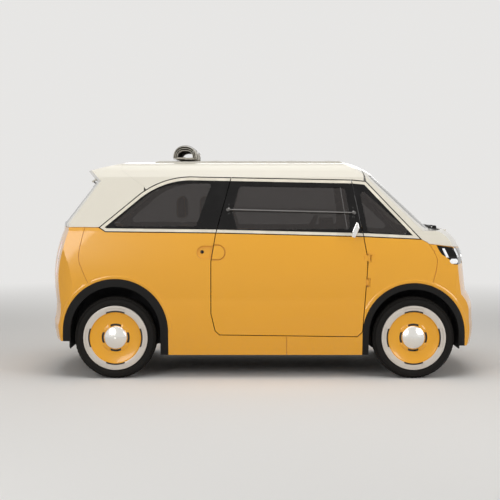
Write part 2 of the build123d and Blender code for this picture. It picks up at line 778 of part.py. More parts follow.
# Doors
door_window_hole = side_prism(DOOR_WINDOW, rounding=WINDOW_ROUNDING)
door_belt = side_prism(DOOR_BELT_CUT)
door_slab = right_piece(shell, DOOR, [floor_block, *door_pockets], grow=-SHUT_GAP)
door_prism = side_prism(DOOR, -SHUT_GAP)
handle_pad = joined(Pos(0, -HANDLE_PROUD, 0) * shell, within=joined(pill(-7), within=door_prism))
door_skin = joined(door_slab, cuts=[door_edge, handle_dish], within=door_belt)
door_back = joined(door_slab, within=joined(pill(1), cuts=[recess_skin]))
door_right = joined(door_skin, door_back, handle_pad, *(part[1] for part in door_hinges))
door_trim = joined(trim_skin, within=joined(moulding_ring, within=side_prism(DOOR, grow=-SHUT_GAP)))
door_frame = joined(door_slab, cuts=[door_belt, door_window_hole, door_trim])
door_pane = joined(glass_skin, within=side_prism(DOOR_WINDOW, grow=-FIT, rounding=WINDOW_ROUNDING))
door_set = (("door", door_right), ("door_trim", door_trim), ("door_frame", door_frame), ("door_glass", door_pane))
for name, piece in door_set:
    write(piece, f"{name}_right")
    write(left_of(piece), f"{name}_left")

# Lamps and arch trims
lamp = joined(shell, within=side_prism(HEADLAMP, grow=-FIT, start=HEADLAMP_Y + FIT))
write(both_sides(lamp), "headlamps")
write(both_sides(joined(shell, within=end_prism(TAIL_LAMP, grow=-FIT))), "tail_lamps")
arch_pieces = []
door_clear = side_prism(DOOR, grow=SEAM)
for axle_x, lift, radius in ARCHES:
    ring = side_prism(arch_outline(axle_x, lift, radius - FIT))
    opening = side_prism(arch_outline(axle_x, lift, ARCH_INNER))
    arch_pieces.append(joined(shell, cuts=[opening, floor_block, door_clear, front_skirt, rear_skirt], within=ring))
write(both_sides(joined(*arch_pieces)), "arch_trims")

# Floor, wheelhouses and bulkheads
FIREWALL_X = F - 346
HEEL_X = R + 345
BOOT_Z = 430
FLOOR_HALF = HALF_WIDTH - 92 - FIT
slab = box((HEEL_X, -FLOOR_HALF, SILL_Z), (FIREWALL_X, FLOOR_HALF, FLOOR_Z))
cavity_low = (HEEL_X + 60, -FLOOR_HALF + 80, SILL_Z + FLOOR_THICK)
cavity_high = (FIREWALL_X - 60, FLOOR_HALF - 80, FLOOR_Z - FLOOR_THICK)
firewall = box((FIREWALL_X, -HALF_WIDTH, SILL_Z + WALL), (FIREWALL_X + FLOOR_THICK, HALF_WIDTH, BELT_Z - 85.3))
heel = box((HEEL_X - FLOOR_THICK, -HALF_WIDTH, SILL_Z + WALL), (HEEL_X, HALF_WIDTH, BOOT_Z + FLOOR_THICK))
boot_floor = box((R - 455, -HALF_WIDTH, BOOT_Z), (HEEL_X, HALF_WIDTH, BOOT_Z + FLOOR_THICK))
sill_step = box((HEEL_X, -HALF_WIDTH, SILL_Z + WALL + 3), (FIREWALL_X, HALF_WIDTH, FLOOR_Z))
bulkheads = joined(firewall, heel, boot_floor, sill_step, within=cabin_space)
arches_in = [
    both_sides(side_prism(arch_outline(x, lift, LINER_RADIUS + 1), start=HOUSE_INNER_Y - LINER_WALL + 1))
    for x, lift, radius in ARCHES
]
houses = [both_sides(wheelhouse(x, lift)) for x, lift, radius in ARCHES]
open_pan = joined(slab, bulkheads, cuts=[box(cavity_low, cavity_high), *arches_in])
write(joined(open_pan, *houses), "floor_pan")
battery_low = tuple(a + FIT for a in cavity_low)
battery_high = tuple(a - FIT for a in cavity_high)
write(box(battery_low, battery_high), "battery_block")

# Front and rear axles
rail = box((FIREWALL_X + FLOOR_THICK + FIT, -350, 215), (F + 380, -300, 275))
tower = box((F - 125, -384, 176), (F + 125, -350, 405))
cradle = box((F - 125, -360, 176), (F + 125, 360, 206))
motor = box((F - 170, -230, 235), (F + 170, 230, 520))
motor_foot = box((F - 60, -300, 216), (F + 60, 300, 246))
subframe_half = joined(front_arms(), rail, tower)
write(joined(both_sides(subframe_half), cradle, motor_foot, motor), "front_subframe")
write(knuckle(), "knuckle_right")
write(left_of(knuckle()), "knuckle_left")
hub_z = TYRE_RADIUS
trailing_arm = rod((R, -360, hub_z), (HEEL_X - FLOOR_THICK - FIT, -360, hub_z), 26)
axle_half = joined(
    rod((R, 0, hub_z), (R, -WHEEL_Y + 12, hub_z), 34),
    rod((R, -300, hub_z), (R, -WHEEL_Y - 28, hub_z), SPINDLE_RADIUS),
    trailing_arm,
    rod((R, -300, hub_z), (R, -300, BOOT_Z - FIT), 45),
)
write(both_sides(axle_half), "rear_axle")
for name, axle_x in (("front", F), ("rear", R)):
    for side_name, side in (("right", -1), ("left", 1)):
        write(tyre(axle_x, side), f"tyre_{name}_{side_name}")
        write(wheel(axle_x, side), f"wheel_{name}_{side_name}")

# Dashboard, column and steering wheel
COLUMN_TILT = radians(25)
STEER_CENTRE = (F - 705, SEAT_Y, 965)
STEER_RADIUS = 172
DASH = [
    (F - 520, 850),
    Mid((F - 548, 905)),
    (F - 520, 960),
    (F - 400, 985),
    (F + 90, 985),
    (F + 90, 955),
    (F - 330, 955),
    (FIREWALL_X - FIT, 955),
    (FIREWALL_X - FIT, 850),
]
with BuildPart() as dashboard:
    extrude(face_of(Plane.XZ, DASH), amount=HALF_WIDTH, both=True)
    add(body_form(WALL + 4), mode=Mode.INTERSECT)
column_start = Vector(*STEER_CENTRE) + Vector(cos(COLUMN_TILT), 0, -sin(COLUMN_TILT)) * 46
column_end = column_start + Vector(cos(COLUMN_TILT), 0, -sin(COLUMN_TILT)) * 220
cluster = box((F - 590, SEAT_Y - 90, 950), (F - 500, SEAT_Y + 90, 1100))
write(joined(dashboard.part, rod(column_start, column_end, 30), cluster), "dashboard")
wheel_plane = Plane(
    origin=STEER_CENTRE, x_dir=(sin(COLUMN_TILT), 0, cos(COLUMN_TILT)), z_dir=(cos(COLUMN_TILT), 0, -sin(COLUMN_TILT))
)
with BuildPart() as steering_wheel:
    with BuildSketch(Plane(origin=wheel_plane.origin, x_dir=wheel_plane.x_dir, z_dir=wheel_plane.y_dir)):
        with Locations((STEER_RADIUS, 0)):
            Circle(14)
    revolve(axis=Axis(wheel_plane.origin, wheel_plane.z_dir))
    with BuildSketch(wheel_plane.offset(-8)):
        Circle(45)
        with Locations((0, 0)):
            Rectangle(26, 2 * STEER_RADIUS)
        with Locations((-STEER_RADIUS / 2, 0)):
            Rectangle(STEER_RADIUS, 26)
    extrude(amount=16)
    with BuildSketch(wheel_plane):
        Circle(24)
    extrude(amount=45)
write(steering_wheel.part, "steering_wheel")


def seat(middle_y, head_x):
    """A front seat: plinth, cushion, leaning back and tall head restraint."""
    outline = [
        (head_x + 90, FLOOR_Z + FIT),
        (head_x + 470, FLOOR_Z + FIT),
        (head_x + 480, 420),
        (head_x + 600, 450),
        Mid((head_x + 615, 520)),
        (head_x + 570, 555),
        (head_x + 190, 540),
        (head_x + 75, 1130),
        (head_x + 62, 1285),
        Mid((head_x, 1305)),
        (head_x - 50, 1260),
        (head_x - 45, 1100),
        (head_x + 50, 480),
    ]
    with BuildPart() as body:
        extrude(face_of(Plane.XZ.offset(-middle_y), outline), amount=SEAT_WIDTH / 2, both=True)
        for side in (-1, 1):
            with Locations((head_x, middle_y + side * (SEAT_WIDTH / 2), 1220)):
                Box(400, 2 * 85, 240, mode=Mode.SUBTRACT)
    return body.part


write(seat(SEAT_Y, F - 1500), "seat_left")
write(seat(-SEAT_Y, F - 1640), "seat_right")
BENCH = [
    (R - 20, BOOT_Z + FLOOR_THICK + FIT),
    (R + 325, BOOT_Z + FLOOR_THICK + FIT),
    Mid((R + 345, 520)),
    (R + 320, 580),
    (R + 30, 570),
    (R - 60, 960),
    Mid((R - 95, 985)),
    (R - 130, 950),
    (R - 60, 520),
]
with BuildPart() as bench:
    extrude(face_of(Plane.XZ, BENCH), amount=HOUSE_INNER_Y - LINER_WALL - 6, both=True)
write(bench.part, "rear_bench")

# Canvas roof and its roll
CANVAS_THICK = 12
CANVAS_HALF = 430
canvas_skin = joined(Pos(0, 0, CANVAS_THICK) * outer_form, cuts=[Pos(0, 0, FIT) * outer_form])
canvas_box = box((R + 255, -CANVAS_HALF, CROWN_Z - 60), (F - 480, CANVAS_HALF, ROOF_TOP))
write(joined(canvas_skin, within=canvas_box), "canvas_base")
ROLL_BASE_Z = CROWN_Z + CANVAS_THICK - FIT
ROLL = [
    (R + 380, ROLL_BASE_Z),
    (R + 560, ROLL_BASE_Z),
    Mid((R + 562, 1628)),
    (R + 490, 1656),
    (R + 455, 1656),
    Mid((R + 384, 1628)),
]
with BuildPart() as roll:
    extrude(face_of(Plane.XZ, ROLL), amount=380, both=True)
write(roll.part, "canvas_roll")

# Wiper, mirrors and window rails
wiper_z = BELT_Z + 16
with BuildPart() as wiper:
    add(rod((F + 225, -180, BELT_Z + FIT), (F + 225, -180, wiper_z + 6), 12))
    add(rod((F + 225, -180, wiper_z), (F + 205, 130, wiper_z), 5))
    add(rod((F + 205, -120, wiper_z), (F + 205, 330, wiper_z), 6))
write(wiper.part, "wiper")
MIRROR = [(F - 444, 1000), (F - 420, 993), (F - 390, 1060), (F - 398, 1098), (F - 412, 1106), (F - 440, 1040)]
with BuildPart() as mirror_body:
    extrude(face_of(Plane.XZ.offset(HALF_WIDTH - 6), MIRROR), amount=52)
    fillet(mirror_body.edges(), 6)
    add(rod((F - 415, -HALF_WIDTH + 82, 1045), (F - 415, -HALF_WIDTH - 10, 1045), 9))
    add(outer_form, mode=Mode.SUBTRACT)
mirror_right = mirror_body.part
write(mirror_right, "mirror_right")
write(left_of(mirror_right), "mirror_left")
rail_line = ((F - 1310, 1189), (F - 415, 1167))


def skin_y(z):
    """How far out the glazed side is at a height."""
    return HALF_WIDTH - 48 - (z - BELT_Z) * 125 / 380


rail_out = 9
ends = [(x, -skin_y(z) - rail_out, z) for x, z in rail_line]
rail_bar = rod(ends[0], ends[1], 5)
knuckles = [rod((x, -skin_y(z) + 20, z), (x, -skin_y(z) - rail_out - 6, z), 11) for x, z in rail_line]
rail_right = joined(rail_bar, *knuckles, cuts=[outer_form])
write(rail_right, "window_rail_right")
write(left_of(rail_right), "window_rail_left")
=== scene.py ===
"""Looks of a tall two-tone micro car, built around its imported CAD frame.

Everything is in metres in the frame of the CAD model: +X forward, +Y the driver's left,
+Z up, with the origin on the ground below the middle of the body.
"""

import logging
import math
from dataclasses import dataclass
from enum import Enum
from typing import Any, Callable, Optional, Sequence, Union

import bmesh
import bpy
from mathutils import Euler, Matrix, Vector
from mathutils.bvhtree import BVHTree


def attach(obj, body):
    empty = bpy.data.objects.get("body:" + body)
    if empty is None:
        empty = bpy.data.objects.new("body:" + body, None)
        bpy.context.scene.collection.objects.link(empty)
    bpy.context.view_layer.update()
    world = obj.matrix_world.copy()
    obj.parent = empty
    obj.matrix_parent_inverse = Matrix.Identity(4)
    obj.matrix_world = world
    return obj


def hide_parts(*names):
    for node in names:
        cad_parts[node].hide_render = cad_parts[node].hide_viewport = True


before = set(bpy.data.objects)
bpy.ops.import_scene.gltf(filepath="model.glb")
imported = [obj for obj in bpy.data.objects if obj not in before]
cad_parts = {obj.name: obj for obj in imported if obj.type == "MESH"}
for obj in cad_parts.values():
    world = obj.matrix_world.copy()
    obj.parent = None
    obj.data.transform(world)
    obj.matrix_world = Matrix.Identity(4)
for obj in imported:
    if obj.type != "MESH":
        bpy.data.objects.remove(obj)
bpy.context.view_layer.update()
LOG = logging.getLogger("micro_car")

Colour = tuple[float, float, float]
Number = Union["Wire", float]
Point = tuple[float, float, float]
Span = tuple[float, float]
Outline = Sequence[Span]
Mesh = bmesh.types.BMesh
Hit = tuple[Vector, Vector]
Lift = Callable[[int, int], float]
Marks = Sequence[tuple[Vector, Euler]]

FRONT_AXLE = 1.055
REAR_AXLE = -1.045
TYRE_RADIUS = 0.288
WHEEL_Y = 0.65
SIDES = (("right", -1), ("left", 1))
SQUARE = ((-1, -1), (1, -1), (1, 1), (-1, 1))
SHELL = "body"


class Slot(Enum):
    """The record's material slots."""

    YELLOW = "paint_yellow"
    CREAM = "paint_cream"
    GLOSS_BLACK = "gloss_black"
    TRIM = "trim_black"
    LINE = "cream_line"
    GLASS_DARK = "glass_dark"
    GLASS_CLEAR = "glass_clear"
    LAMP_WHITE = "lamp_white"
    LAMP_RED = "lamp_red"
    TYRE = "tyre"
    WHEEL = "wheel_enamel"
    CHASSIS = "chassis"
    CAST = "cast"
    CABIN = "cabin_dark"
    SEAT = "seat_cloth"
    CANVAS = "canvas"
    CANVAS_CREAM = "canvas_cream"
    CHROME = "chrome"


# ------------------------------------------------------------------ node trees


def operator(operation: str, swapped: bool = False) -> Callable[["Wire", Number], "Wire"]:
    """A Python operator of two values that adds a Math node, with its inputs swapped or not."""
    return lambda wire, other: wire.maths(operation, *((other, wire) if swapped else (wire, other)))


class Wire:
    """A node socket on which Python arithmetic adds Math nodes."""

    __add__ = __radd__ = operator("ADD")
    __sub__, __rsub__ = operator("SUBTRACT"), operator("SUBTRACT", True)
    __mul__ = __rmul__ = operator("MULTIPLY")
    __gt__, __lt__ = operator("GREATER_THAN"), operator("LESS_THAN")
    __pow__ = operator("POWER")

    def __init__(self, tree: "Tree", socket: bpy.types.NodeSocket) -> None:
        """Keep the tree and the socket.

        Args:
            tree: the node tree that the socket is in.
            socket: the output to read.
        """
        self.tree = tree
        self.socket = socket

    def maths(self, operation: str, *values: Number) -> "Wire":
        """Add one Math node.

        Args:
            operation: the node's operation.
            values: its inputs, in order.

        Returns:
            The node's result.
        """
        return self.tree.node("ShaderNodeMath", {"operation": operation}, values)

    def __abs__(self) -> "Wire":
        """Size without sign."""
        return self.maths("ABSOLUTE", self)

    def sine(self) -> "Wire":
        """Sine of an angle in radians."""
        return self.maths("SINE", self)

    def between(self, low: float, high: float) -> "Wire":
        """1 between two limits, 0 outside them."""
        return (self > low) * (self < high)

    def ramp(self, low: float, high: float) -> "Wire":
        """Rise smoothly from 0 at the low value to 1 at the high one.

        Args:
            low: where the result is 0.
            high: where the result is 1.

        Returns:
            The smooth step.
        """
        limits = {"Value": self, "From Min": low, "From Max": high}
        return self.tree.node("ShaderNodeMapRange", {"interpolation_type": "SMOOTHSTEP"}, limits)


class Tree:
    """A node tree with one method that adds any node."""

    def __init__(self, tree: bpy.types.NodeTree) -> None:
        """Take over an empty node tree."""
        self.tree = tree

    def node(
        self,
        kind: str,
        settings: Optional[dict[str, Any]] = None,
        inputs: Union[dict[Any, Any], Sequence[Any], None] = None,
        output: Union[int, str] = 0,
    ) -> Wire:
        """Add a node, set it up and wire it.

        Args:
            kind: the node's type.
            settings: its own settings.
            inputs: values or wires by socket name or place.
            output: the output to return.

        Returns:
            The chosen output.
        """
        made = self.tree.nodes.new(kind)
        for name, value in (settings or {}).items():
            setattr(made, name, value)
        pairs = inputs.items() if isinstance(inputs, dict) else enumerate(inputs or ())
        for name, value in pairs:
            if isinstance(value, Wire):
                self.tree.links.new(value.socket, made.inputs[name])
            else:
                made.inputs[name].default_value = value
        return Wire(self, made.outputs[output])

    def output(self, kind: str, result: Wire) -> None:
        """Send a result out of the tree through an output node of that type."""
        out = self.tree.nodes.new(kind)
        self.tree.links.new(result.socket, out.inputs[0])

    def seen_directly(self) -> Wire:
        """1 for rays of the camera, of reflections and of glass, 0 for those that light things."""
        kinds = ("Camera", "Glossy", "Transmission")
        rays = [self.node("ShaderNodeLightPath", output=f"Is {kind} Ray") for kind in kinds]
        return rays[0] + rays[1] + rays[2] > 0.5


class Shader(Tree):
    """A material's node tree, read in the object's own coordinates."""

    def __init__(self, name: str) -> None:
        """Start an empty material.

        Args:
            name: the material's name.
        """
        self.material = bpy.data.materials.new(name)
        self.material.use_nodes = True
        super().__init__(self.material.node_tree)
        self.tree.nodes.clear()
        self.place = self.node("ShaderNodeTexCoord", output="Object")

    def axes(self) -> tuple[Wire, Wire, Wire]:
        """Return the X, Y and Z of the object coordinates."""
        split = self.node("ShaderNodeSeparateXYZ", None, {"Vector": self.place}, "X")
        outputs = split.socket.node.outputs
        return tuple(Wire(self, outputs[name]) for name in "XYZ")

    def noise(self, scale: float, detail: float = 2.0, stretch: Point = (1.0, 1.0, 1.0)) -> Wire:
        """Cloudy noise from 0 to 1.

        Args:
            scale: clouds in a metre.
            detail: how many finer layers it has.
            stretch: how much each axis is packed.

        Returns:
            The noise value.
        """
        place = self.place
        if stretch != (1.0, 1.0, 1.0):
            place = self.node("ShaderNodeMapping", None, {"Vector": place, "Scale": stretch})
        return self.node("ShaderNodeTexNoise", None, {"Vector": place, "Scale": scale, "Detail": detail})

    def cells(self, scale: float, feature: str = "F1") -> Wire:
        """Distance inside random cells, for grain and pores."""
        return self.node("ShaderNodeTexVoronoi", {"feature": feature}, {"Vector": self.place, "Scale": scale})

    def mix(self, factor: Number, first: Any, second: Any) -> Wire:
        """Blend two colours.

        Args:
            factor: 0 gives the first, 1 the second.
            first: a wire or a colour.
            second: a wire or a colour.

        Returns:
            The blended colour.
        """
        colours = [value if isinstance(value, Wire) else (*value, 1.0) for value in (first, second)]
        return self.node("ShaderNodeMix", {"data_type": "RGBA"}, {0: factor, 6: colours[0], 7: colours[1]}, 2)

    def bump(self, height: Wire, distance: float, strength: float = 1.0) -> Wire:
        """Turn a height into a surface normal."""
        return self.node("ShaderNodeBump", None, {"Height": height, "Distance": distance, "Strength": strength})

    def finish(self, colour: Any, **sockets: Any) -> bpy.types.Material:
        """Close the material with one Principled shader.

        Args:
            colour: the base colour, a wire or three numbers.
            sockets: other sockets, with _ for a space.

        Returns:
            The finished material.
        """
        inputs = {name.replace("_", " "): value for name, value in sockets.items()}
        inputs["Base Color"] = colour if isinstance(colour, Wire) else (*colour, 1.0)
        shade = self.node("ShaderNodeBsdfPrincipled", None, inputs)
        self.output("ShaderNodeOutputMaterial", shade)
        return self.material


# -------------------------------------------------------------------- finishes


@dataclass(frozen=True)
class Paint:
    """Gloss body paint with a clear coat, a faint orange peel and road dust low down."""

    name: str
    colour: Colour
    depth: Colour
    dust: Colour = (0.36, 0.25, 0.12)

    def colour_of(self, shader: Shader) -> Wire:
        """Paint colour with slow drifts and a film of dust near the ground."""
        _, _, height = shader.axes()
        drift = shader.noise(1.1, 1.0).ramp(0.3, 0.75)
        dusty = (1 - height.ramp(0.14, 0.36)) * shader.noise(60.0, 3.0).ramp(0.4, 0.8) * 0.10
        return shader.mix(dusty, shader.mix(drift * 0.2, self.colour, self.depth), self.dust)

    def peel(self, shader: Shader) -> Wire:
        """The faint orange peel of sprayed paint."""
        return shader.bump(shader.noise(420.0, 0.0), 0.00002, 0.2)

    def material(self) -> bpy.types.Material:
        """Build the material."""
        shader = Shader(self.name)
        rough = shader.noise(17.0, 2.0) * 0.03 + 0.27
        return shader.finish(
            self.colour_of(shader),
            Roughness=rough,
            Normal=self.peel(shader),
            Coat_Weight=0.7,
            Coat_Roughness=0.05,
        )


@dataclass(frozen=True)
class GatePaint:
    """Tailgate paint: yellow panel below, gloss black round the glass above."""

    name: str
    lower: Paint
    upper: Colour
    edge_z: float = 1.066

    def material(self) -> bpy.types.Material:
        """Build the material."""
        shader = Shader(self.name)
        _, _, height = shader.axes()
        colour = shader.mix(height > self.edge_z, self.lower.colour_of(shader), self.upper)
        return shader.finish(
            colour, Roughness=0.25, Normal=self.lower.peel(shader), Coat_Weight=0.7, Coat_Roughness=0.05
        )


@dataclass(frozen=True)
class Moulded:
    """Moulded plastic with a fine spark grain and scuffed patches."""

    name: str
    colour: Colour
    roughness: float
    grain: float = 900.0
    depth: float = 0.00025
    coat: float = 0.0
    shine: float = 0.18

    def material(self) -> bpy.types.Material:
        """Build the material."""
        shader = Shader(self.name)
        scuff = shader.noise(9.0, 4.0).ramp(0.45, 0.8)
        lighter = tuple(value * 1.4 + 0.003 for value in self.colour)
        return shader.finish(
            shader.mix(scuff * 0.6, self.colour, lighter),
            Roughness=scuff * 0.12 + self.roughness,
            Normal=shader.bump(shader.cells(self.grain), self.depth, 0.5),
            Specular_IOR_Level=self.shine,
            Coat_Weight=self.coat,
            Coat_Roughness=0.06,
        )


@dataclass(frozen=True)
class Glazing:
    """Tinted glass: a thin shaded sheet with a hard shine."""

    name: str
    tint: Colour
    alpha: float

    def material(self) -> bpy.types.Material:
        """Build the material."""
        shader = Shader(self.name)
        haze = shader.noise(6.0, 2.0) * 0.02 + 0.02
        return shader.finish(self.tint, Roughness=haze, Alpha=self.alpha, Coat_Weight=0.4, Coat_Roughness=0.02)


@dataclass(frozen=True)
class Metal:
    """Bare or plated metal with faint smears."""

    name: str
    colour: Colour
    roughness: float
    smear: float = 0.06
    grain: float = 0.0

    def material(self) -> bpy.types.Material:
        """Build the material."""
        shader = Shader(self.name)
        rough = shader.noise(24.0, 4.0) * self.smear + self.roughness
        sockets: dict[str, Any] = {"Roughness": rough, "Metallic": 1.0}
        if self.grain:
            sockets["Normal"] = shader.bump(shader.noise(self.grain, 3.0), 0.0004, 0.6)
        return shader.finish(self.colour, **sockets)


@dataclass(frozen=True)
class Lamp:
    """Lens plastic that glows a little."""

    name: str
    colour: Colour
    glow: float
    rib: float = 260.0

    def material(self) -> bpy.types.Material:
        """Build the material."""
        shader = Shader(self.name)
        _, _, height = shader.axes()
        ribs = (height * (self.rib * math.tau)).sine()
        return shader.finish(
            self.colour,
            Roughness=0.16,
            Normal=shader.bump(ribs, 0.0004, 0.35),
            Coat_Weight=0.8,
            Coat_Roughness=0.03,
            Emission_Color=(*self.colour, 1.0),
            Emission_Strength=self.glow,
        )


@dataclass(frozen=True)
class LampHousing:
    """Gloss black lamp moulding whose lower outer corner is cut off in body colour."""

    name: str
    colour: Colour
    around: Colour
    corner: Span = (1.338, 0.804)
    slope: float = 0.95

    def material(self) -> bpy.types.Material:
        """Build the material."""
        shader = Shader(self.name)
        x, _, z = shader.axes()
        cut = (z - self.corner[1]) < (self.corner[0] - x) * self.slope
        return shader.finish(
            shader.mix(cut, self.colour, self.around),
            Roughness=cut * 0.18 + 0.1,
            Normal=shader.bump(shader.noise(300.0, 1.0), 0.00002, 0.3),
            Specular_IOR_Level=0.15,
            Coat_Weight=0.3,
            Coat_Roughness=0.04,
        )


@dataclass(frozen=True)
class TailLens:
    """A rear lamp moulding: red towards the middle, pearl towards the side, dark dividers."""

    name: str
    red: Colour
    pearl: Colour
    split_y: float = 0.5975
    divider_z: float = 0.842
    cap_z: Span = (0.742, 0.942)

    def material(self) -> bpy.types.Material:
        """Build the material."""
        shader = Shader(self.name)
        _, y, z = shader.axes()
        pearl = (abs(y) > self.split_y) * z.between(*self.cap_z)
        dark = abs(z - self.divider_z) < 0.006
        colour = shader.mix(dark, shader.mix(pearl, self.red, self.pearl), INK)
        ribs = (z * (math.tau * 240.0)).sine()
        return shader.finish(
            colour,
            Roughness=0.14,
            Normal=shader.bump(ribs, 0.0004, 0.3),
            Coat_Weight=0.8,
            Coat_Roughness=0.03,
            Emission_Color=shader.mix(dark, colour, (0.0, 0.0, 0.0)),
            Emission_Strength=0.35,
        )


@dataclass(frozen=True)
class Rubber:
    """Tyre rubber, dusty on the tread and darker on the wall, with fine moulded rings."""

    name: str
    colour: Colour
    dust: Colour

    def material(self) -> bpy.types.Material:
        """Build the material."""
        shader = Shader(self.name)
        radius = hub_radius(shader)
        worn = radius.ramp(0.274, 0.287) * shader.noise(46.0, 4.0).ramp(0.3, 0.75)
        rings = (radius * (math.tau * 420.0)).sine() * radius.between(0.236, 0.266)
        height = rings * 0.4 + shader.noise(700.0, 2.0) * 0.5
        return shader.finish(
            shader.mix(worn * 0.5, self.colour, self.dust),
            Roughness=shader.noise(30.0, 3.0) * 0.16 + 0.6,
            Specular_IOR_Level=0.16,
            Normal=shader.bump(height, 0.0004, 0.6),
        )


@dataclass(frozen=True)
class WheelEnamel:
    """A wheel pressing: light ring, yellow dish and chrome cap, with painted shade, near black, on the walls of the
    slots in ring and dish.
    """

    name: str
    ring: Colour
    dish: Colour
    cap: Colour
    # near black painted shade that stands in for the shadow inside the slots
    slot: Colour = (0.012, 0.011, 0.01)
    disc_radius: float = 0.182
    cap_radius: float = 0.081
    # where the painted slot shade lies: radius from, radius to, and the depth in Y that the recessed slot walls stay
    # under
    ring_slot_shade: Point = (0.1795, 0.1955, 0.7300)
    dish_slot_shade: Point = (0.0825, 0.1005, 0.7060)

    def material(self) -> bpy.types.Material:
        """Build the material."""
        shader = Shader(self.name)
        radius = hub_radius(shader)
        side = abs(shader.axes()[1])
        in_cap = radius < self.cap_radius
        in_dish = radius < self.disc_radius
        front = side > 0.69
        # dark: the recessed walls of the slots, which get painted shade
        dark = radius.between(*self.ring_slot_shade[:2]) * (side < self.ring_slot_shade[2])
        dark = dark + radius.between(*self.dish_slot_shade[:2]) * (side < self.dish_slot_shade[2])
        grime = shader.noise(60.0, 4.0).ramp(0.4, 0.8) * (1 - front)
        colour = shader.mix(in_dish, self.ring, self.dish)
        colour = shader.mix(in_cap, colour, self.cap)
        # painted shade: the slot walls take the near black slot colour
        colour = shader.mix(dark * front, colour, self.slot)
        colour = shader.mix(1 - front, colour, shader.mix(grime, (0.22, 0.21, 0.2), (0.09, 0.08, 0.07)))
        return shader.finish(
            colour,
            Metallic=in_cap * front + (1 - front) * 0.6,
            Roughness=0.30 - in_cap * 0.14 + shader.noise(30.0, 3.0) * 0.06,
            Coat_Weight=(1 - in_cap) * 0.5,
            Coat_Roughness=0.08,
            Normal=shader.bump(shader.noise(500.0, 1.0), 0.00005, 0.3),
        )


@dataclass(frozen=True)
class Cloth:
    """Woven cloth: crossed threads, slubs and a soft sheen."""

    name: str
    colour: Colour
    thread: Colour
    count: float
    relief: float = 0.0006
    sheen: float = 0.25

    def material(self) -> bpy.types.Material:
        """Build the material."""
        shader = Shader(self.name)
        x, y, z = shader.axes()
        turn = math.tau * self.count
        warp = (x * turn).sine() * (z * turn).sine()
        weft = (y * turn).sine()
        weave = warp * 0.5 + weft * 0.5 + shader.noise(self.count * 1.7, 2.0) * 0.6
        slub = shader.noise(26.0, 4.0, (1.0, 5.0, 1.0)).ramp(0.35, 0.75)
        colour = shader.mix(weave.ramp(-0.3, 1.2), self.colour, self.thread)
        return shader.finish(
            shader.mix(slub * 0.35, colour, self.thread),
            Roughness=slub * 0.08 + 0.82,
            Normal=shader.bump(weave, self.relief, 0.7),
            Sheen_Weight=self.sheen,
            Sheen_Roughness=0.5,
        )


def hub_radius(shader: Shader) -> Wire:
    """How far a point is from its own wheel's axle, seen from the side."""
    x, _, z = shader.axes()
    middle = (FRONT_AXLE + REAR_AXLE) / 2
    along = abs(x - middle) - (FRONT_AXLE - REAR_AXLE) / 2
    up = z - TYRE_RADIUS
    return (along * along + up * up) ** 0.5


INK = (0.010, 0.009, 0.009)
YELLOW = Paint("paint_yellow", (0.80, 0.365, 0.004), (0.76, 0.325, 0.003))
CREAM = Paint("paint_cream", (0.74, 0.70, 0.60), (0.70, 0.66, 0.56), (0.5, 0.46, 0.38))
LAMP_HOUSING = LampHousing("lamp_housing", (0.012, 0.011, 0.011), (0.782, 0.375, 0.034))
RAIL = Metal("rail_metal", (0.16, 0.155, 0.15), 0.3)
STRAP = Cloth("strap_webbing", (0.020, 0.018, 0.016), (0.05, 0.045, 0.04), 900.0, 0.0003)
PIPING = Cloth("seat_piping", (0.42, 0.22, 0.03), (0.62, 0.36, 0.06), 900.0, 0.0002)
TAIL_LENS = TailLens("tail_lens", (0.62, 0.018, 0.012), (0.72, 0.72, 0.70))

FINISHES: dict[Slot, Any] = {
    Slot.YELLOW: YELLOW,
    Slot.CREAM: CREAM,
    Slot.GLOSS_BLACK: Moulded("gloss_black", (0.006, 0.0055, 0.0055), 0.10, 260.0, 0.00002, 0.22, 0.1),
    Slot.TRIM: Moulded("trim_black", (0.0065, 0.006, 0.0055), 0.56),
    Slot.LINE: Moulded("cream_line", (0.74, 0.69, 0.58), 0.3, 500.0, 0.00004, 0.4),
    Slot.GLASS_DARK: Glazing("glass_dark", (0.020, 0.014, 0.012), 0.62),
    Slot.GLASS_CLEAR: Glazing("glass_clear", (0.035, 0.036, 0.036), 0.5),
    Slot.LAMP_WHITE: Lamp("lamp_white", (0.80, 0.82, 0.84), 0.22),
    Slot.LAMP_RED: Lamp("lamp_red", (0.62, 0.02, 0.015), 0.35),
    Slot.TYRE: Rubber("tyre", (0.008, 0.007, 0.006), (0.034, 0.029, 0.024)),
    Slot.WHEEL: WheelEnamel("wheel_enamel", (0.60, 0.55, 0.49), YELLOW.colour, (0.86, 0.84, 0.8)),
    Slot.CHASSIS: Moulded("chassis", (0.03, 0.03, 0.032), 0.6, 300.0, 0.0008),
    Slot.CAST: Metal("cast", (0.28, 0.28, 0.29), 0.45, 0.12, 260.0),
    Slot.CABIN: Moulded("cabin_dark", (0.030, 0.028, 0.027), 0.62, 650.0, 0.0004),
    Slot.SEAT: Cloth("seat_cloth", (0.052, 0.046, 0.042), (0.12, 0.10, 0.085), 420.0),
    Slot.CANVAS: Cloth("canvas", (0.38, 0.35, 0.295), (0.52, 0.485, 0.415), 520.0),
    Slot.CANVAS_CREAM: Cloth("canvas_cream", (0.50, 0.475, 0.41), (0.62, 0.59, 0.52), 520.0),
    Slot.CHROME: Metal("chrome", (0.88, 0.87, 0.85), 0.08),
}


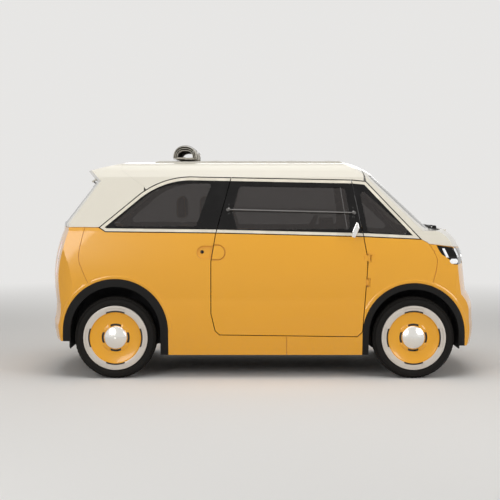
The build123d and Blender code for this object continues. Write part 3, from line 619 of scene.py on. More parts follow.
class Wardrobe:
    """Makes each finish once and dresses the CAD nodes."""

    def __init__(self) -> None:
        """Start with no material made."""
        self.made: dict[Any, bpy.types.Material] = {}

    def material(self, finish: Any) -> bpy.types.Material:
        """Return the material of a slot or of a finish of its own."""
        chosen = FINISHES[finish] if isinstance(finish, Slot) else finish
        if chosen not in self.made:
            self.made[chosen] = chosen.material()
        return self.made[chosen]

    def dress_frame(self, special: dict[str, Any]) -> None:
        """Dress every CAD node by its slot, apart from those with a finish of their own.

        Args:
            special: finish by node name.
        """
        for name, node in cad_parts.items():
            for place, slot in enumerate(node.material_slots):
                own = slot.material.name.split(".")[0] if slot.material else Slot.TRIM.value
                finish = special.get(name, Slot(own))
                node.material_slots[place].material = self.material(finish)
        LOG.info("dressed %d CAD nodes", len(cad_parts))


# ---------------------------------------------------------------- mesh helpers


def add_object(name: str, data: bpy.types.ID) -> bpy.types.Object:
    """Make an object of some data and link it to the scene."""
    item = bpy.data.objects.new(name, data)
    bpy.context.scene.collection.objects.link(item)
    return item


def add_mesh(name: str, mesh: Mesh) -> bpy.types.Object:
    """Make an object of a bmesh, and free the bmesh."""
    data = bpy.data.meshes.new(name)
    mesh.to_mesh(data)
    mesh.free()
    return add_object(name, data)


def baked(item: bpy.types.Object) -> bpy.types.Mesh:
    """The object's mesh with its modifiers applied."""
    return bpy.data.meshes.new_from_object(item.evaluated_get(bpy.context.evaluated_depsgraph_get()))


def smooth(piece: bpy.types.Object, angle: float) -> None:
    """Shade a piece smooth, apart from edges sharper than the angle in degrees."""
    data = piece.data
    data.polygons.foreach_set("use_smooth", [True] * len(data.polygons))
    mesh = bmesh.new()
    mesh.from_mesh(data)
    for edge in mesh.edges:
        edge.smooth = len(edge.link_faces) == 2 and edge.calc_face_angle(0.0) < math.radians(angle)
    mesh.to_mesh(data)
    mesh.free()


def steps(low: float, high: float, count: int) -> list[float]:
    """Evenly spaced values, both ends included."""
    return [low + (high - low) * i / (count - 1) for i in range(count)]


def grid(first: Sequence[float], second: Sequence[float], make: Callable[[float, float], Span]) -> list[list[Span]]:
    """Rows of places over two lists of values."""
    return [[make(a, b) for b in second] for a in first]


def stand(place: Vector, normal: Vector) -> Matrix:
    """The matrix that puts the origin on a place, with Z along the normal."""
    return Matrix.Translation(place) @ normal.to_track_quat("Z", "Y").to_matrix().to_4x4()


def laid(ahead: Vector, normal: Vector) -> Euler:
    """The turn that lays X ahead on a surface, with Z along its normal."""
    ahead = (ahead - normal * ahead.dot(normal)).normalized()
    return Matrix((ahead, normal.cross(ahead), normal)).transposed().to_euler()


def band(mesh: Mesh, first: list, second: list, closed: bool = True) -> None:
    """Face the strip between two rows of points, round to the start if it is closed."""
    for i in range(len(first) - (0 if closed else 1)):
        j = (i + 1) % len(first)
        mesh.faces.new((first[i], first[j], second[j], second[i]))


def crust(mesh: Mesh, tops: list, unders: list) -> None:
    """Face two layers of points and the rim between them."""
    for layer in (tops, unders):
        for first, second in zip(layer, layer[1:]):
            band(mesh, first, second, False)
    for k in (0, -1):
        band(mesh, tops[k], unders[k], False)
    for k in (0, -1):
        band(mesh, [row[k] for row in tops], [row[k] for row in unders], False)


def lathe(mesh: Mesh, profile: Outline, place: Matrix, facets: int) -> None:
    """Turn a closed profile of (radius, along) about the local Z axis, put in place.

    Args:
        mesh: the bmesh to add to.
        profile: points round the section.
        place: where the axis goes.
        facets: how many there are round.
    """
    rings = []
    for step in range(facets):
        turn = math.tau * step / facets
        spots = [Vector((r * math.cos(turn), r * math.sin(turn), a)) for r, a in profile]
        rings.append([mesh.verts.new(place @ spot) for spot in spots])
    for first, second in zip(rings, rings[1:] + rings[:1]):
        band(mesh, first, second)
    bmesh.ops.remove_doubles(mesh, verts=mesh.verts, dist=1e-6)


def round_edges(mesh: Mesh, edges: set, width: float, segments: int) -> None:
    """Round some edges off."""
    bmesh.ops.bevel(mesh, geom=list(edges), offset=width, segments=segments, profile=0.5, affect="EDGES")


def block(mesh: Mesh, low: Point, high: Point, bevel: float, segments: int = 1) -> None:
    """Add a block with rounded edges between two corners."""
    size = Vector(high) - Vector(low)
    middle = (Vector(high) + Vector(low)) / 2
    made = bmesh.ops.create_cube(mesh, size=1.0, matrix=Matrix.Translation(middle) @ Matrix.Diagonal((*size, 1.0)))
    round_edges(mesh, {edge for vert in made["verts"] for edge in vert.link_edges}, bevel, segments)


def tube(mesh: Mesh, path: Sequence[Vector], radius: float, facets: int = 12) -> None:
    """Sweep a round bar along points, with closed ends.

    Args:
        mesh: the bmesh to add to.
        path: the middle line.
        radius: the bar's radius.
        facets: how many sides it has.
    """
    rings = []
    up = Vector((0, 0, 1))
    turns = [math.tau * k / facets for k in range(facets)]
    for i, point in enumerate(path):
        ahead = path[min(i + 1, len(path) - 1)] - path[max(i - 1, 0)]
        ahead.normalize()
        side = ahead.cross(up if abs(ahead.dot(up)) < 0.95 else Vector((1, 0, 0))).normalized()
        up = side.cross(ahead).normalized()
        rings.append([mesh.verts.new(point + (side * math.cos(t) + up * math.sin(t)) * radius) for t in turns])
    for first, second in zip(rings, rings[1:]):
        band(mesh, first, second)
    mesh.faces.new(list(reversed(rings[0])))
    mesh.faces.new(rings[-1])


def prism(mesh: Mesh, outline: Outline, low: float, high: float, bevel: float, segments: int = 2) -> None:
    """Add a side-view outline made a block across the car, with rounded edges.

    Args:
        mesh: the bmesh to add to.
        outline: (x, z) points.
        low: where it starts in Y.
        high: where it ends.
        bevel: the rounding.
        segments: how fine that rounding is.
    """
    ends = [[mesh.verts.new((x, y, z)) for x, z in outline] for y in (low, high)]
    made = [mesh.faces.new(ends[0]), mesh.faces.new(list(reversed(ends[1])))]
    for i in range(len(outline)):
        j = (i + 1) % len(outline)
        made.append(mesh.faces.new((ends[0][j], ends[0][i], ends[1][i], ends[1][j])))
    bmesh.ops.recalc_face_normals(mesh, faces=made)
    round_edges(mesh, {edge for face in made for edge in face.edges}, bevel, segments)


class StampTree:
    """Geometry Nodes that stand one small shape on many marked points."""

    SEED = 7
    INPUTS = (("Marks", "Geometry"), ("Stamp", "Object"), ("Variation", "Float"), ("Finish", "Material"))

    def __init__(self) -> None:
        """Build the node tree once."""
        group = bpy.data.node_groups.new("stamped_row", "GeometryNodeTree")
        for name, kind in self.INPUTS:
            group.interface.new_socket(name, in_out="INPUT", socket_type=f"NodeSocket{kind}")
        group.interface.new_socket("Geometry", in_out="OUTPUT", socket_type="NodeSocketGeometry")
        self.group = group
        self.names = {item.name: item.identifier for item in group.interface.items_tree if item.in_out == "INPUT"}
        tree = Tree(group)
        sockets = tree.node("NodeGroupInput").socket.node.outputs
        given = {socket.name: Wire(tree, socket) for socket in sockets if socket.name}
        stamp = tree.node("GeometryNodeObjectInfo", None, {"Object": given["Stamp"]}, "Geometry")
        named = {"data_type": "FLOAT_VECTOR"}
        turn = tree.node("GeometryNodeInputNamedAttribute", named, {"Name": "turn"}, "Attribute")
        turn = tree.node("FunctionNodeEulerToRotation", None, {0: turn})
        limits = {2: 1 - given["Variation"], 3: 1.0, "Seed": self.SEED}
        scale = tree.node("FunctionNodeRandomValue", {"data_type": "FLOAT"}, limits, 1)
        rows = {"Points": given["Marks"], "Instance": stamp, "Rotation": turn, "Scale": scale}
        stood = tree.node("GeometryNodeInstanceOnPoints", None, rows)
        real = tree.node("GeometryNodeRealizeInstances", None, {"Geometry": stood})
        dressed = {"Geometry": real, "Material": given["Finish"]}
        tree.output("NodeGroupOutput", tree.node("GeometryNodeSetMaterial", None, dressed))

    def stamp(self, into: Mesh, marks: Marks, shape: Mesh, finish: bpy.types.Material, variation: float) -> None:
        """Stand a shape on every mark and add the result to a mesh.

        Args:
            into: the bmesh that takes the result.
            marks: where each one stands and how it is turned.
            shape: the small shape, freed here.
            finish: the material that Set Material gives.
            variation: how much smaller a random one may be.
        """
        stamp = add_mesh("stamp", shape)
        points = bpy.data.meshes.new("marks")
        points.from_pydata([place for place, _ in marks], [], [])
        turns = points.attributes.new("turn", "FLOAT_VECTOR", "POINT")
        turns.data.foreach_set("vector", [value for _, turn in marks for value in turn])
        holder = add_object("marks", points)
        modifier = holder.modifiers.new("stamps", "NODES")
        modifier.node_group = self.group
        for name, value in (("Stamp", stamp), ("Variation", variation), ("Finish", finish)):
            modifier[self.names[name]] = value
        into.from_mesh(baked(holder))
        for item in (holder, stamp):
            bpy.data.objects.remove(item)


class Workshop:
    """Turns shapes into finished pieces, with the finishes and the stamps at hand."""

    def __init__(self, wardrobe: Wardrobe) -> None:
        """Keep the wardrobe and set the stamps up."""
        self.wardrobe = wardrobe
        self.stamps = StampTree()

    def piece(
        self,
        name: str,
        mesh: Mesh,
        slot: Slot,
        angle: Optional[float] = None,
        body: str = SHELL,
        finish: Any = None,
    ) -> bpy.types.Object:
        """Turn a bmesh into a finished piece that rides on a body.

        Args:
            name: the piece's name.
            mesh: its shape in place, freed here.
            slot: the record's slot it takes its finish from.
            angle: edges flatter than this, in degrees, are shaded smooth.
            body: the CAD body that carries it.
            finish: a finish of its own, if it has one.

        Returns:
            The object.
        """
        bmesh.ops.recalc_face_normals(mesh, faces=mesh.faces)
        piece = add_mesh(name, mesh)
        piece.data.materials.append(self.wardrobe.material(finish or slot))
        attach(piece, body)
        if angle is not None:
            smooth(piece, angle)
        LOG.info("%s: %d faces on %s", name, len(piece.data.polygons), body)
        return piece

    def turned(self, name: str, profile: Outline, place: Matrix, slot: Slot, *rest: Any, facets: int = 40) -> None:
        """Make a piece that is one turned profile.

        Args:
            name: the piece's name.
            profile: its section, as (radius, along).
            place: where its axis goes.
            slot: the record's slot.
            rest: the angle, body and finish that piece() takes.
            facets: how many there are round.
        """
        mesh = bmesh.new()
        lathe(mesh, profile, place, facets)
        self.piece(name, mesh, slot, *rest)

    def stamp(self, into: Mesh, marks: Marks, shape: Mesh, slot: Slot, variation: float = 0.0) -> None:
        """Stand a shape on every mark, in the finish of a slot."""
        self.stamps.stamp(into, marks, shape, self.wardrobe.material(slot), variation)


@dataclass(frozen=True)
class View:
    """A straight look along one axis, from a level on it, up or down that axis."""

    axis: int
    level: float
    way: int

    def start(self, first: float, second: float) -> Vector:
        """The start point over the two other coordinates, in their order."""
        place = [first, second]
        place.insert(self.axis, self.level)
        return Vector(place)

    def toward(self) -> Vector:
        """The direction of the look."""
        return Vector([self.way if axis == self.axis else 0 for axis in range(3)])


NOSE = View(0, 2.0, -1)
ROOF = View(2, 1.75, -1)
COWL = View(2, 1.6, -1)
DASH = View(0, 0.2, 1)


def from_side(sign: int) -> View:
    """The look from beside the car, at its right (-1) or its left (1)."""
    return View(1, sign * 1.2, -sign)


def rimmed(rows: Sequence[Sequence[Span]], rim: float, full: float) -> Lift:
    """A pad's lift: low round its rim, full inside."""
    ends = (0, len(rows) - 1), (0, len(rows[0]) - 1)
    return lambda i, j: rim if i in ends[0] or j in ends[1] else full


class Skin:
    """The CAD surface of some nodes, found by looking at it along an axis."""

    UNDERSIDE = 0.002

    def __init__(self, *nodes: str) -> None:
        """Gather the nodes' surfaces.

        Args:
            nodes: CAD node names.
        """
        mesh = bmesh.new()
        for node in nodes:
            mesh.from_mesh(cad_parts[node].data)
        self.tree = BVHTree.FromBMesh(mesh)
        mesh.free()

    def hit(self, view: View, first: float, second: float) -> Optional[Hit]:
        """Return the first point seen over two coordinates and its normal, or None."""
        toward = view.toward()
        place, normal, _, _ = self.tree.ray_cast(view.start(first, second), toward)
        if place is None:
            return None
        return place, normal if normal.dot(toward) < 0 else -normal

    def spot(self, view: View, first: float, second: float) -> Hit:
        """Return the first point seen and its normal, where there has to be one."""
        found = self.hit(view, first, second)
        if found is None:
            raise ValueError(f"no surface is seen at {first:.3f}, {second:.3f}")
        return found

    def drape(
        self, mesh: Mesh, view: View, rows: Sequence[Sequence[Span]], lift: Lift, thick: Optional[float] = None
    ) -> None:
        """Lay a closed thin pad over the surface.

        Args:
            mesh: the bmesh to add to.
            view: the look that finds the surface.
            rows: the two coordinates of each point, as a grid.
            lift: how far each point stands off the surface.
            thick: for cloth, how far the underside lies below the top.
        """
        tops, unders = [], []
        last: Optional[Hit] = None
        for i, row in enumerate(rows):
            top, under = [], []
            for j, (first, second) in enumerate(row):
                last = self.hit(view, first, second) or last or self.spot(view, first, second)
                place, normal = last
                top.append(mesh.verts.new(place + normal * lift(i, j)))
                below = -self.UNDERSIDE if thick is None else max(lift(i, j) - thick, 0.0001)
                under.append(mesh.verts.new(place + normal * below))
            tops.append(top)
            unders.append(under)
        crust(mesh, tops, unders)


# ---------------------------------------------------------------------- studio


@dataclass
class Studio:
    """Pale floor, soft lights and the photograph's camera."""

    camera_place: Point = (-0.0975, -9.0, 1.313)
    pitch: float = 2.81
    lens: float = 84.96
    floor_half: float = 30.0
    floor_colour: Colour = (0.80, 0.79, 0.77)
    floor_fade: Span = (3.2, 9.0)
    backdrop: Colour = (1.0, 0.99, 0.975)
    backdrop_glow: float = 0.80
    world_light: float = 0.28
    lamps: tuple[tuple[Point, Point, float, float], ...] = (
        ((0.0, -1.2, 5.2), (0.0, 0.0, 0.6), 5.0, 132.0),
        ((-3.6, -6.5, 3.2), (0.0, 0.0, 0.7), 3.0, 132.0),
        ((4.8, -4.6, 2.8), (0.6, 0.0, 0.7), 2.6, 97.0),
        ((0.0, 6.5, 3.4), (0.0, 0.0, 0.9), 4.0, 106.0),
    )

    def build(self) -> None:
        """Set the view transform and make camera, lamps, world and floor."""
        bpy.context.scene.view_settings.view_transform = "Standard"
        self._camera()
        for number, lamp in enumerate(self.lamps):
            self._lamp(f"softbox_{number}", *lamp)
        self._world()
        self._floor()

    def _camera(self) -> None:
        """Stand the camera where the photograph was taken from."""
        camera = bpy.data.cameras.new("camera")
        camera.lens = self.lens
        holder = add_object("camera", camera)
        holder.location = self.camera_place
        holder.rotation_euler = (math.radians(90.0 - self.pitch), 0.0, 0.0)
        bpy.context.scene.camera = holder

    @staticmethod
    def _lamp(name: str, place: Point, aim: Point, size: float, power: float) -> None:
        """Hang one softbox.

        Args:
            name: the lamp's name.
            place: where it hangs.
            aim: the point it faces.
            size: the side of its square.
            power: watts.
        """
        light = bpy.data.lights.new(name, "AREA")
        light.size, light.energy = size, power
        holder = add_object(name, light)
        holder.location = place
        holder.rotation_euler = (Vector(aim) - Vector(place)).to_track_quat("-Z", "Y").to_euler()

    def _world(self) -> None:
        """A pale world, soft on the object and nearly white behind it."""
        world = bpy.data.worlds.new("studio")
        bpy.context.scene.world = world
        world.use_nodes = True
        world.node_tree.nodes.clear()
        tree = Tree(world.node_tree)
        strength = tree.seen_directly() * (self.backdrop_glow - self.world_light) + self.world_light
        look = {"Color": (*self.backdrop, 1.0), "Strength": strength}
        tree.output("ShaderNodeOutputWorld", tree.node("ShaderNodeBackground", None, look))

    def _floor(self) -> None:
        """A plain pale floor that fades into the backdrop."""
        mesh = bmesh.new()
        mesh.faces.new([mesh.verts.new((x * self.floor_half, y * self.floor_half, 0.0)) for x, y in SQUARE])
        floor = add_mesh("floor", mesh)
        shader = Shader("floor")
        x, y, _ = shader.axes()
        far = ((x * x + y * y) ** 0.5).ramp(*self.floor_fade)
        near = shader.node("ShaderNodeBsdfDiffuse", None, {"Color": (*self.floor_colour, 1.0)})
        look = {"Color": (*self.backdrop, 1.0), "Strength": self.backdrop_glow}
        glow = shader.node("ShaderNodeEmission", None, look)
        mixed = shader.node("ShaderNodeMixShader", None, {0: far * shader.seen_directly(), 1: near, 2: glow})
        shader.output("ShaderNodeOutputMaterial", mixed)
        floor.data.materials.append(shader.material)


# ---------------------------------------------------------------------- wheels


@dataclass
class Tyre:
    """A road tyre: a turned carcass, a middle rib and rows of moulded blocks."""

    radius: float = TYRE_RADIUS
    groove: float = 0.0065
    half: float = 0.0925
    bead: float = 0.214
    rim: float = 0.228
    rib_half: float = 0.011
    facets: int = 144
    block_rows: tuple[tuple[float, float, int, float], ...] = (
        (0.0255, 0.019, 64, 0.0),
        (0.0475, 0.017, 64, 0.0),
        (0.0650, 0.016, 64, 0.0062),
    )
    block_share: float = 0.40
    shoulder_lean: float = 22.0
    skew: float = 0.16

    def profile(self) -> list[Span]:
        """Section of the carcass from inner bead to outer bead, as (radius, along)."""
        h, base = self.half, self.radius - self.groove
        side = [
            (self.bead, h - 0.016),
            (self.rim, h - 0.016),
            (self.rim + 0.002, h - 0.005),
            (self.rim + 0.005, h - 0.0025),
            (self.rim + 0.007, h - 0.0035),
            (self.rim + 0.018, h - 0.0005),
            (self.rim + 0.027, h),
            (self.rim + 0.037, h - 0.002),
            (self.rim + 0.039, h - 0.0008),
            (self.rim + 0.0415, h - 0.0028),
            (self.radius - 0.012, h - 0.017),
            (base - 0.0015, h - 0.026),
            (base, h - 0.034),
        ]
        rib = [(base, self.rib_half + 0.001), (self.radius, self.rib_half), (self.radius, 0.0)]
        half = side + rib
        return half + [(r, -a) for r, a in reversed(half[:-1])]

    def block(self, width: float, count: int) -> Mesh:
        """One tread block, its foot under the carcass and its top a little smaller."""
        mesh = bmesh.new()
        long = math.tau * self.radius / count * self.block_share
        rings = []
        for level, close in ((-self.groove - 0.002, 0.0), (-0.001, 0.0004), (0.0, 0.0014)):
            spots = [(level, u * (long - close), v * (width / 2 - close)) for u, v in SQUARE]
            rings.append([mesh.verts.new(spot) for spot in spots])
        for bottom, top in zip(rings, rings[1:]):
            band(mesh, bottom, top)
        mesh.faces.new(rings[-1])
        mesh.faces.new(list(reversed(rings[0])))
        bmesh.ops.recalc_face_normals(mesh, faces=mesh.faces)
        return mesh

    def tread(self, shop: Workshop, mesh: Mesh, place: Matrix) -> None:
        """Stand every row of blocks round the carcass.

        Args:
            shop: the workshop.
            mesh: the bmesh to add to.
            place: where the axle goes, along the local Z.
        """
        level = place.to_3x3().to_4x4()
        for row, (along, width, count, drop) in enumerate(self.block_rows):
            reach = self.radius - drop
            marks = []
            for half in (-1, 1):
                for step in range(count):
                    turn = math.tau * (step + 0.5 * row + 0.25 * half) / count
                    spot = Vector((reach * math.cos(turn), reach * math.sin(turn), half * along))
                    lean = Matrix.Rotation(turn, 4, "Z") @ Matrix.Rotation(half * drop * self.shoulder_lean, 4, "Y")
                    lean = lean @ Matrix.Rotation(half * self.skew, 4, "X")
                    marks.append((place @ spot, (level @ lean).to_euler()))
            shop.stamp(mesh, marks, self.block(width, count), Slot.TYRE)


@dataclass
class Wheels:
    """The four tyres with their tread, and the pads and valves of their wheels."""

    pad_radius: Span = (0.082, 0.106)
    pad_turn: float = math.radians(19)
    valve_place: Span = (0.012, -0.0915)
    valve: Outline = (
        (0.0003, -0.002),
        (0.0050, -0.002),
        (0.0042, 0.012),
        (0.0046, 0.014),
        (0.0046, 0.024),
        (0.0003, 0.025),
    )

    def build(self, shop: Workshop) -> None:
        """Make the four tyres and put each on its wheel."""
        tyre = Tyre()
        for end, axle in (("front", FRONT_AXLE), ("rear", REAR_AXLE)):
            for side, sign in SIDES:
                name = f"{end}_{side}"
                place = Matrix.Translation((axle, sign * WHEEL_Y, TYRE_RADIUS)) @ Matrix.Rotation(math.pi / 2, 4, "X")
                mesh = bmesh.new()
                lathe(mesh, tyre.profile(), place, tyre.facets)
                tyre.tread(shop, mesh, place)
                self._pads(shop, name, axle, sign)
                piece = shop.piece(f"tread_tyre_{name}", mesh, Slot.TYRE, 30.0, f"wheel_{name}")
                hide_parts(f"tyre_{name}")

    def _pads(self, shop: Workshop, name: str, axle: float, sign: int) -> None:
        """Raised pads round the cap, between the dish's slots, and the valve."""
        body = f"wheel_{name}"
        skin, view = Skin(body), View(1, sign, -sign)
        mesh = bmesh.new()
        for quarter in range(4):
            middle = math.radians(45 + 90 * quarter)
            turns = steps(middle - self.pad_turn, middle + self.pad_turn, 9)
            reach = steps(*self.pad_radius, 5)
            rows = grid(turns, reach, lambda a, r: (axle + r * math.cos(a), TYRE_RADIUS + r * math.sin(a)))
            skin.drape(mesh, view, rows, rimmed(rows, 0.0006, 0.0042))
        shop.piece(f"dish_pads_{name}", mesh, Slot.YELLOW, 50.0, body)
        along, up = self.valve_place
        foot, _ = skin.spot(view, axle + along, TYRE_RADIUS + up)
        shop.turned(f"valve_{name}", self.valve, stand(foot, Vector((0, sign, 0))), Slot.TRIM, 40.0, body, facets=20)


# -------------------------------------------------------------------- exterior


@dataclass
class Lamps:
    """Light bars and round lamps in the black head units, and their surround."""

    side_bar_x: tuple[Span, ...] = ((1.279, 1.299), (1.359, 1.374))
    side_bar_z: Span = (0.855, 0.9185)
    side_bar_lean: float = 0.48
    lower_x: Span = (1.304, 1.362)
    lower_z: Span = (0.8105, 0.8455)
    lower_taper: float = 0.42
    front_bar_y: Span = (0.385, 0.430)
    front_bar_z: Span = (0.838, 0.900)
    bar_lift: float = 0.004
    surround_rear: tuple[Span, ...] = (
        (1.270, 0.862),
        (1.250, 0.875),
        (1.236, 0.893),
        (1.224, 0.915),
        (1.211, 0.9405),
    )
    surround_front: Point = (1.400, 0.862, 0.9165)
    surround_lift: float = 0.0010
    round_place: Span = (0.505, 0.836)
    round_radius: float = 0.031

    def build(self, shop: Workshop) -> None:
        """Make the lamp details of both sides."""
        housing, flank = Skin("headlamps"), Skin("headlamps", "front_bumper")
        for side, sign in SIDES:
            self._surround(shop, flank, side, sign)
            mesh = bmesh.new()
            for skin, view, rows in self._lenses(housing, flank, sign):
                skin.drape(mesh, view, rows, rimmed(rows, 0.0008, self.bar_lift))
            shop.piece(f"light_bars_{side}", mesh, Slot.LAMP_WHITE, 50.0)
            self._round(shop, housing, side, sign)

    def _surround(self, shop: Workshop, skin: Skin, side: str, sign: int) -> None:
        """The thin black moulding that carries the lamp back and up to the visor's edge."""
        front_x, front_low, front_high = self.surround_front
        low, high = self.surround_rear[0][1], self.surround_rear[-1][1]
        edge = []
        for (x0, z0), (x1, z1) in zip(self.surround_rear, self.surround_rear[1:]):
            edge += [(x0 + (x1 - x0) * part, z0 + (z1 - z0) * part) for part in (0.0, 1 / 3, 2 / 3)]
        edge.append(self.surround_rear[-1])
        rows = []
        for x, z in edge:
            front_z = front_low + (front_high - front_low) * (z - low) / (high - low)
            rows.append([(x + (front_x - x) * t, z + (front_z - z) * t) for t in steps(0.0, 1.0, 19)])
        mesh = bmesh.new()
        skin.drape(mesh, from_side(sign), rows, rimmed(rows, 0.0003, self.surround_lift))
        shop.piece(f"lamp_surround_{side}", mesh, Slot.GLOSS_BLACK, 50.0)

    def _lenses(self, housing: Skin, flank: Skin, sign: int) -> list[tuple[Skin, View, list[list[Span]]]]:
        """Two leaning bars and the rounded lower lamp on the flank, and the bar on the face."""
        up = steps(*self.side_bar_z, 9)
        lenses = []
        for low, high in self.side_bar_x:
            lean = lambda z, a: (low + (high - low) * a - (z - up[0]) * self.side_bar_lean, z)
            lenses.append((flank, from_side(sign), grid(up, steps(0.0, 1.0, 6), lean)))
        middle, reach = sum(self.lower_x) / 2, (self.lower_x[1] - self.lower_x[0]) / 2
        centre, rise = sum(self.lower_z) / 2, (self.lower_z[1] - self.lower_z[0]) / 2
        taper = lambda v, u: (middle + reach * u * (1 - self.lower_taper * v * v), centre + rise * v)
        lenses.append((housing, from_side(sign), grid(steps(-1.0, 1.0, 11), steps(-1.0, 1.0, 13), taper)))
        across = steps(*self.front_bar_y, 6)
        lenses.append((housing, NOSE, grid(steps(*self.front_bar_z, 9), across, lambda z, y: (sign * y, z))))
        return lenses

    def _round(self, shop: Workshop, skin: Skin, side: str, sign: int) -> None:
        """The round lower lamp: a domed lens in a chromed bezel."""
        foot = stand(*skin.spot(NOSE, sign * self.round_place[0], self.round_place[1]))
        r = self.round_radius
        dome = [(r * math.cos(a), -0.001 + 0.008 * math.sin(a)) for a in steps(0.0, math.pi / 2, 7)]
        lens = [(0.0005, -0.006), (r, -0.006), *dome[:-1], (0.0005, 0.007)]
        bezel = [(r, -0.008), (r + 0.004, -0.008), (r + 0.004, 0.002), (r + 0.002, 0.0035), (r, 0.0025)]
        shop.turned(f"round_lens_{side}", lens, foot, Slot.LAMP_WHITE, 50.0)
        shop.turned(f"round_bezel_{side}", bezel, foot, Slot.CHROME, 40.0)


@dataclass
class ArchLips:
    """Soft flares in body colour that stand round the black arch trims."""

    lift: tuple[float, ...] = (0.0006, 0.0030, 0.0042, 0.0040, 0.0026, 0.0004)
    width: float = 0.026
    arches: tuple[tuple[str, str, float, float, float, float, float], ...] = (
        ("front", "front_wing", FRONT_AXLE, 0.315, 0.362, -4.0, 152.0),
        ("rear", "quarter_panel", REAR_AXLE, 0.333, 0.373, 0.0, 186.0),
    )

    def build(self, shop: Workshop) -> None:
        """Make the four flares."""
        for end, panel, axle, height, radius, low, high in self.arches:
            for side, sign in SIDES:
                skin = Skin(f"{end}_bumper", f"{panel}_{side}")
                mesh = bmesh.new()
                angles = [math.radians(a) for a in steps(low, high, 73)]
                outs = steps(radius, radius + self.width, len(self.lift))
                rows = grid(angles, outs, lambda a, r: (axle + r * math.cos(a), height + r * math.sin(a)))
                skin.drape(mesh, from_side(sign), rows, lambda i, j: self.lift[j])
                shop.piece(f"arch_lip_{end}_{side}", mesh, Slot.YELLOW, 50.0)


@dataclass
class FrontTrim:
    """The cowl tray under the screen, the intake grille and the door buttons."""

    tray_x: Span = (1.252, 1.312)
    tray_half: float = 0.46
    tray_sweep: float = 0.035
    wiper_y: float = -0.18
    slat_z: tuple[float, ...] = (0.352, 0.382, 0.412, 0.442, 0.472)
    slat: tuple[Span, ...] = ((-0.0050, 0.004), (-0.0042, 0.0105), (0.0042, 0.0095), (0.0050, 0.004))
    grille_half: float = 0.372
    grille_z: Span = (0.336, 0.504)
    rib_half: float = 0.345
    rib_z: float = 0.42
    button_place: Span = (-0.434, 0.893)
    button: Outline = ((0.0003, -0.002), (0.0125, -0.002), (0.0125, 0.0025), (0.0110, 0.0036), (0.0003, 0.0030))

    def build(self, shop: Workshop) -> None:
        """Make the trim."""
        self._tray(shop)
        self._grille(shop)
        for side, sign in SIDES:
            foot = stand(*Skin(f"quarter_panel_{side}").spot(from_side(sign), *self.button_place))
            shop.turned(f"door_button_{side}", self.button, foot, Slot.GLOSS_BLACK, 40.0)

    def _swept(self, x: float, y: float) -> Span:
        """A place on the tray, further back towards the sides."""
        return x - self.tray_sweep * (y / self.tray_half) ** 2, y

    def _tray(self, shop: Workshop) -> None:
        """A black tray with a row of louvres."""
        skin = Skin("cowl_panel")
        mesh = bmesh.new()
        across, along = steps(-self.tray_half, self.tray_half, 61), steps(*self.tray_x, 9)
        rows = grid(across, along, lambda y, x: self._swept(x, y))
        skin.drape(mesh, COWL, rows, rimmed(rows, 0.0004, 0.0018))
        louvre = bmesh.new()
        block(louvre, (-0.016, -0.0022, 0.0), (0.016, 0.0022, 0.0046), 0.0008)
        marks = []
        for y in steps(-self.tray_half + 0.03, self.tray_half - 0.03, 58):
            if abs(y - self.wiper_y) > 0.02:
                place, normal = skin.spot(COWL, *self._swept(sum(self.tray_x) / 2, y))
                marks.append((place, laid(Vector((1, 0, 0)), normal)))
        shop.stamp(mesh, marks, louvre, Slot.TRIM)
        shop.piece("cowl_tray", mesh, Slot.TRIM, 40.0)

    def _grille(self, shop: Workshop) -> None:
        """Slats and ribs in the bumper's intake recess."""
        skin = Skin("front_bumper")
        mesh = bmesh.new()
        across = steps(-self.grille_half, self.grille_half, 49)
        skin.drape(mesh, NOSE, grid(steps(*self.grille_z, 7), across, lambda z, y: (y, z)), lambda i, j: 0.0015)
        for middle in self.slat_z:
            rows = grid([middle + off for off, _ in self.slat], across, lambda z, y: (y, z))
            skin.drape(mesh, NOSE, rows, lambda i, j: self.slat[i][1])
        rib = bmesh.new()
        block(rib, (0.0, -0.0016, -0.078), (0.0075, 0.0016, 0.078), 0.0006)
        marks = []
        for y in steps(-self.rib_half, self.rib_half, 24):
            place, normal = skin.spot(NOSE, y, self.rib_z)
            marks.append((Vector((place.x, y, self.rib_z)), Euler((0, 0, math.atan2(normal.y, normal.x)))))
        shop.stamp(mesh, marks, rib, Slot.TRIM)
        shop.piece("intake_grille", mesh, Slot.TRIM, 40.0)


@dataclass
class DoorRails:
    """The clamps that carry the rail outside each door window."""

    ends: tuple[Span, ...] = ((-0.247, 1.1888), (0.632, 1.1672))
    clamp: Outline = (
        (0.0003, 0.0002),
        (0.0105, 0.0002),
        (0.0105, 0.0030),
        (0.0072, 0.0060),
        (0.0072, 0.0150),
        (0.0090, 0.0170),
        (0.0090, 0.0215),
        (0.0065, 0.0240),
        (0.0003, 0.0246),
    )

    def build(self, shop: Workshop) -> None:
        """Make both clamps of each door, each on a foot that runs up the frame."""
        for side, sign in SIDES:
            skin, body = Skin(f"door_frame_{side}", f"door_glass_{side}"), f"door_{side}"
            for number, (x, z) in enumerate(self.ends):
                clamp = stand(*skin.spot(from_side(sign), x, z))
                name = f"rail_clamp_{side}_{number}"
                shop.turned(name, self.clamp, clamp, Slot.CAST, 40.0, body, RAIL, facets=36)
                foot = bmesh.new()
                levels, across = steps(z - 0.034, z + 0.040, 13), steps(x - 0.0075, x + 0.0075, 5)
                rows = grid(levels, across, lambda up, along: (along, up))
                skin.drape(foot, from_side(sign), rows, rimmed(rows, 0.0008, 0.0034))
                shop.piece(f"rail_foot_{side}_{number}", foot, Slot.GLOSS_BLACK, 50.0, body)


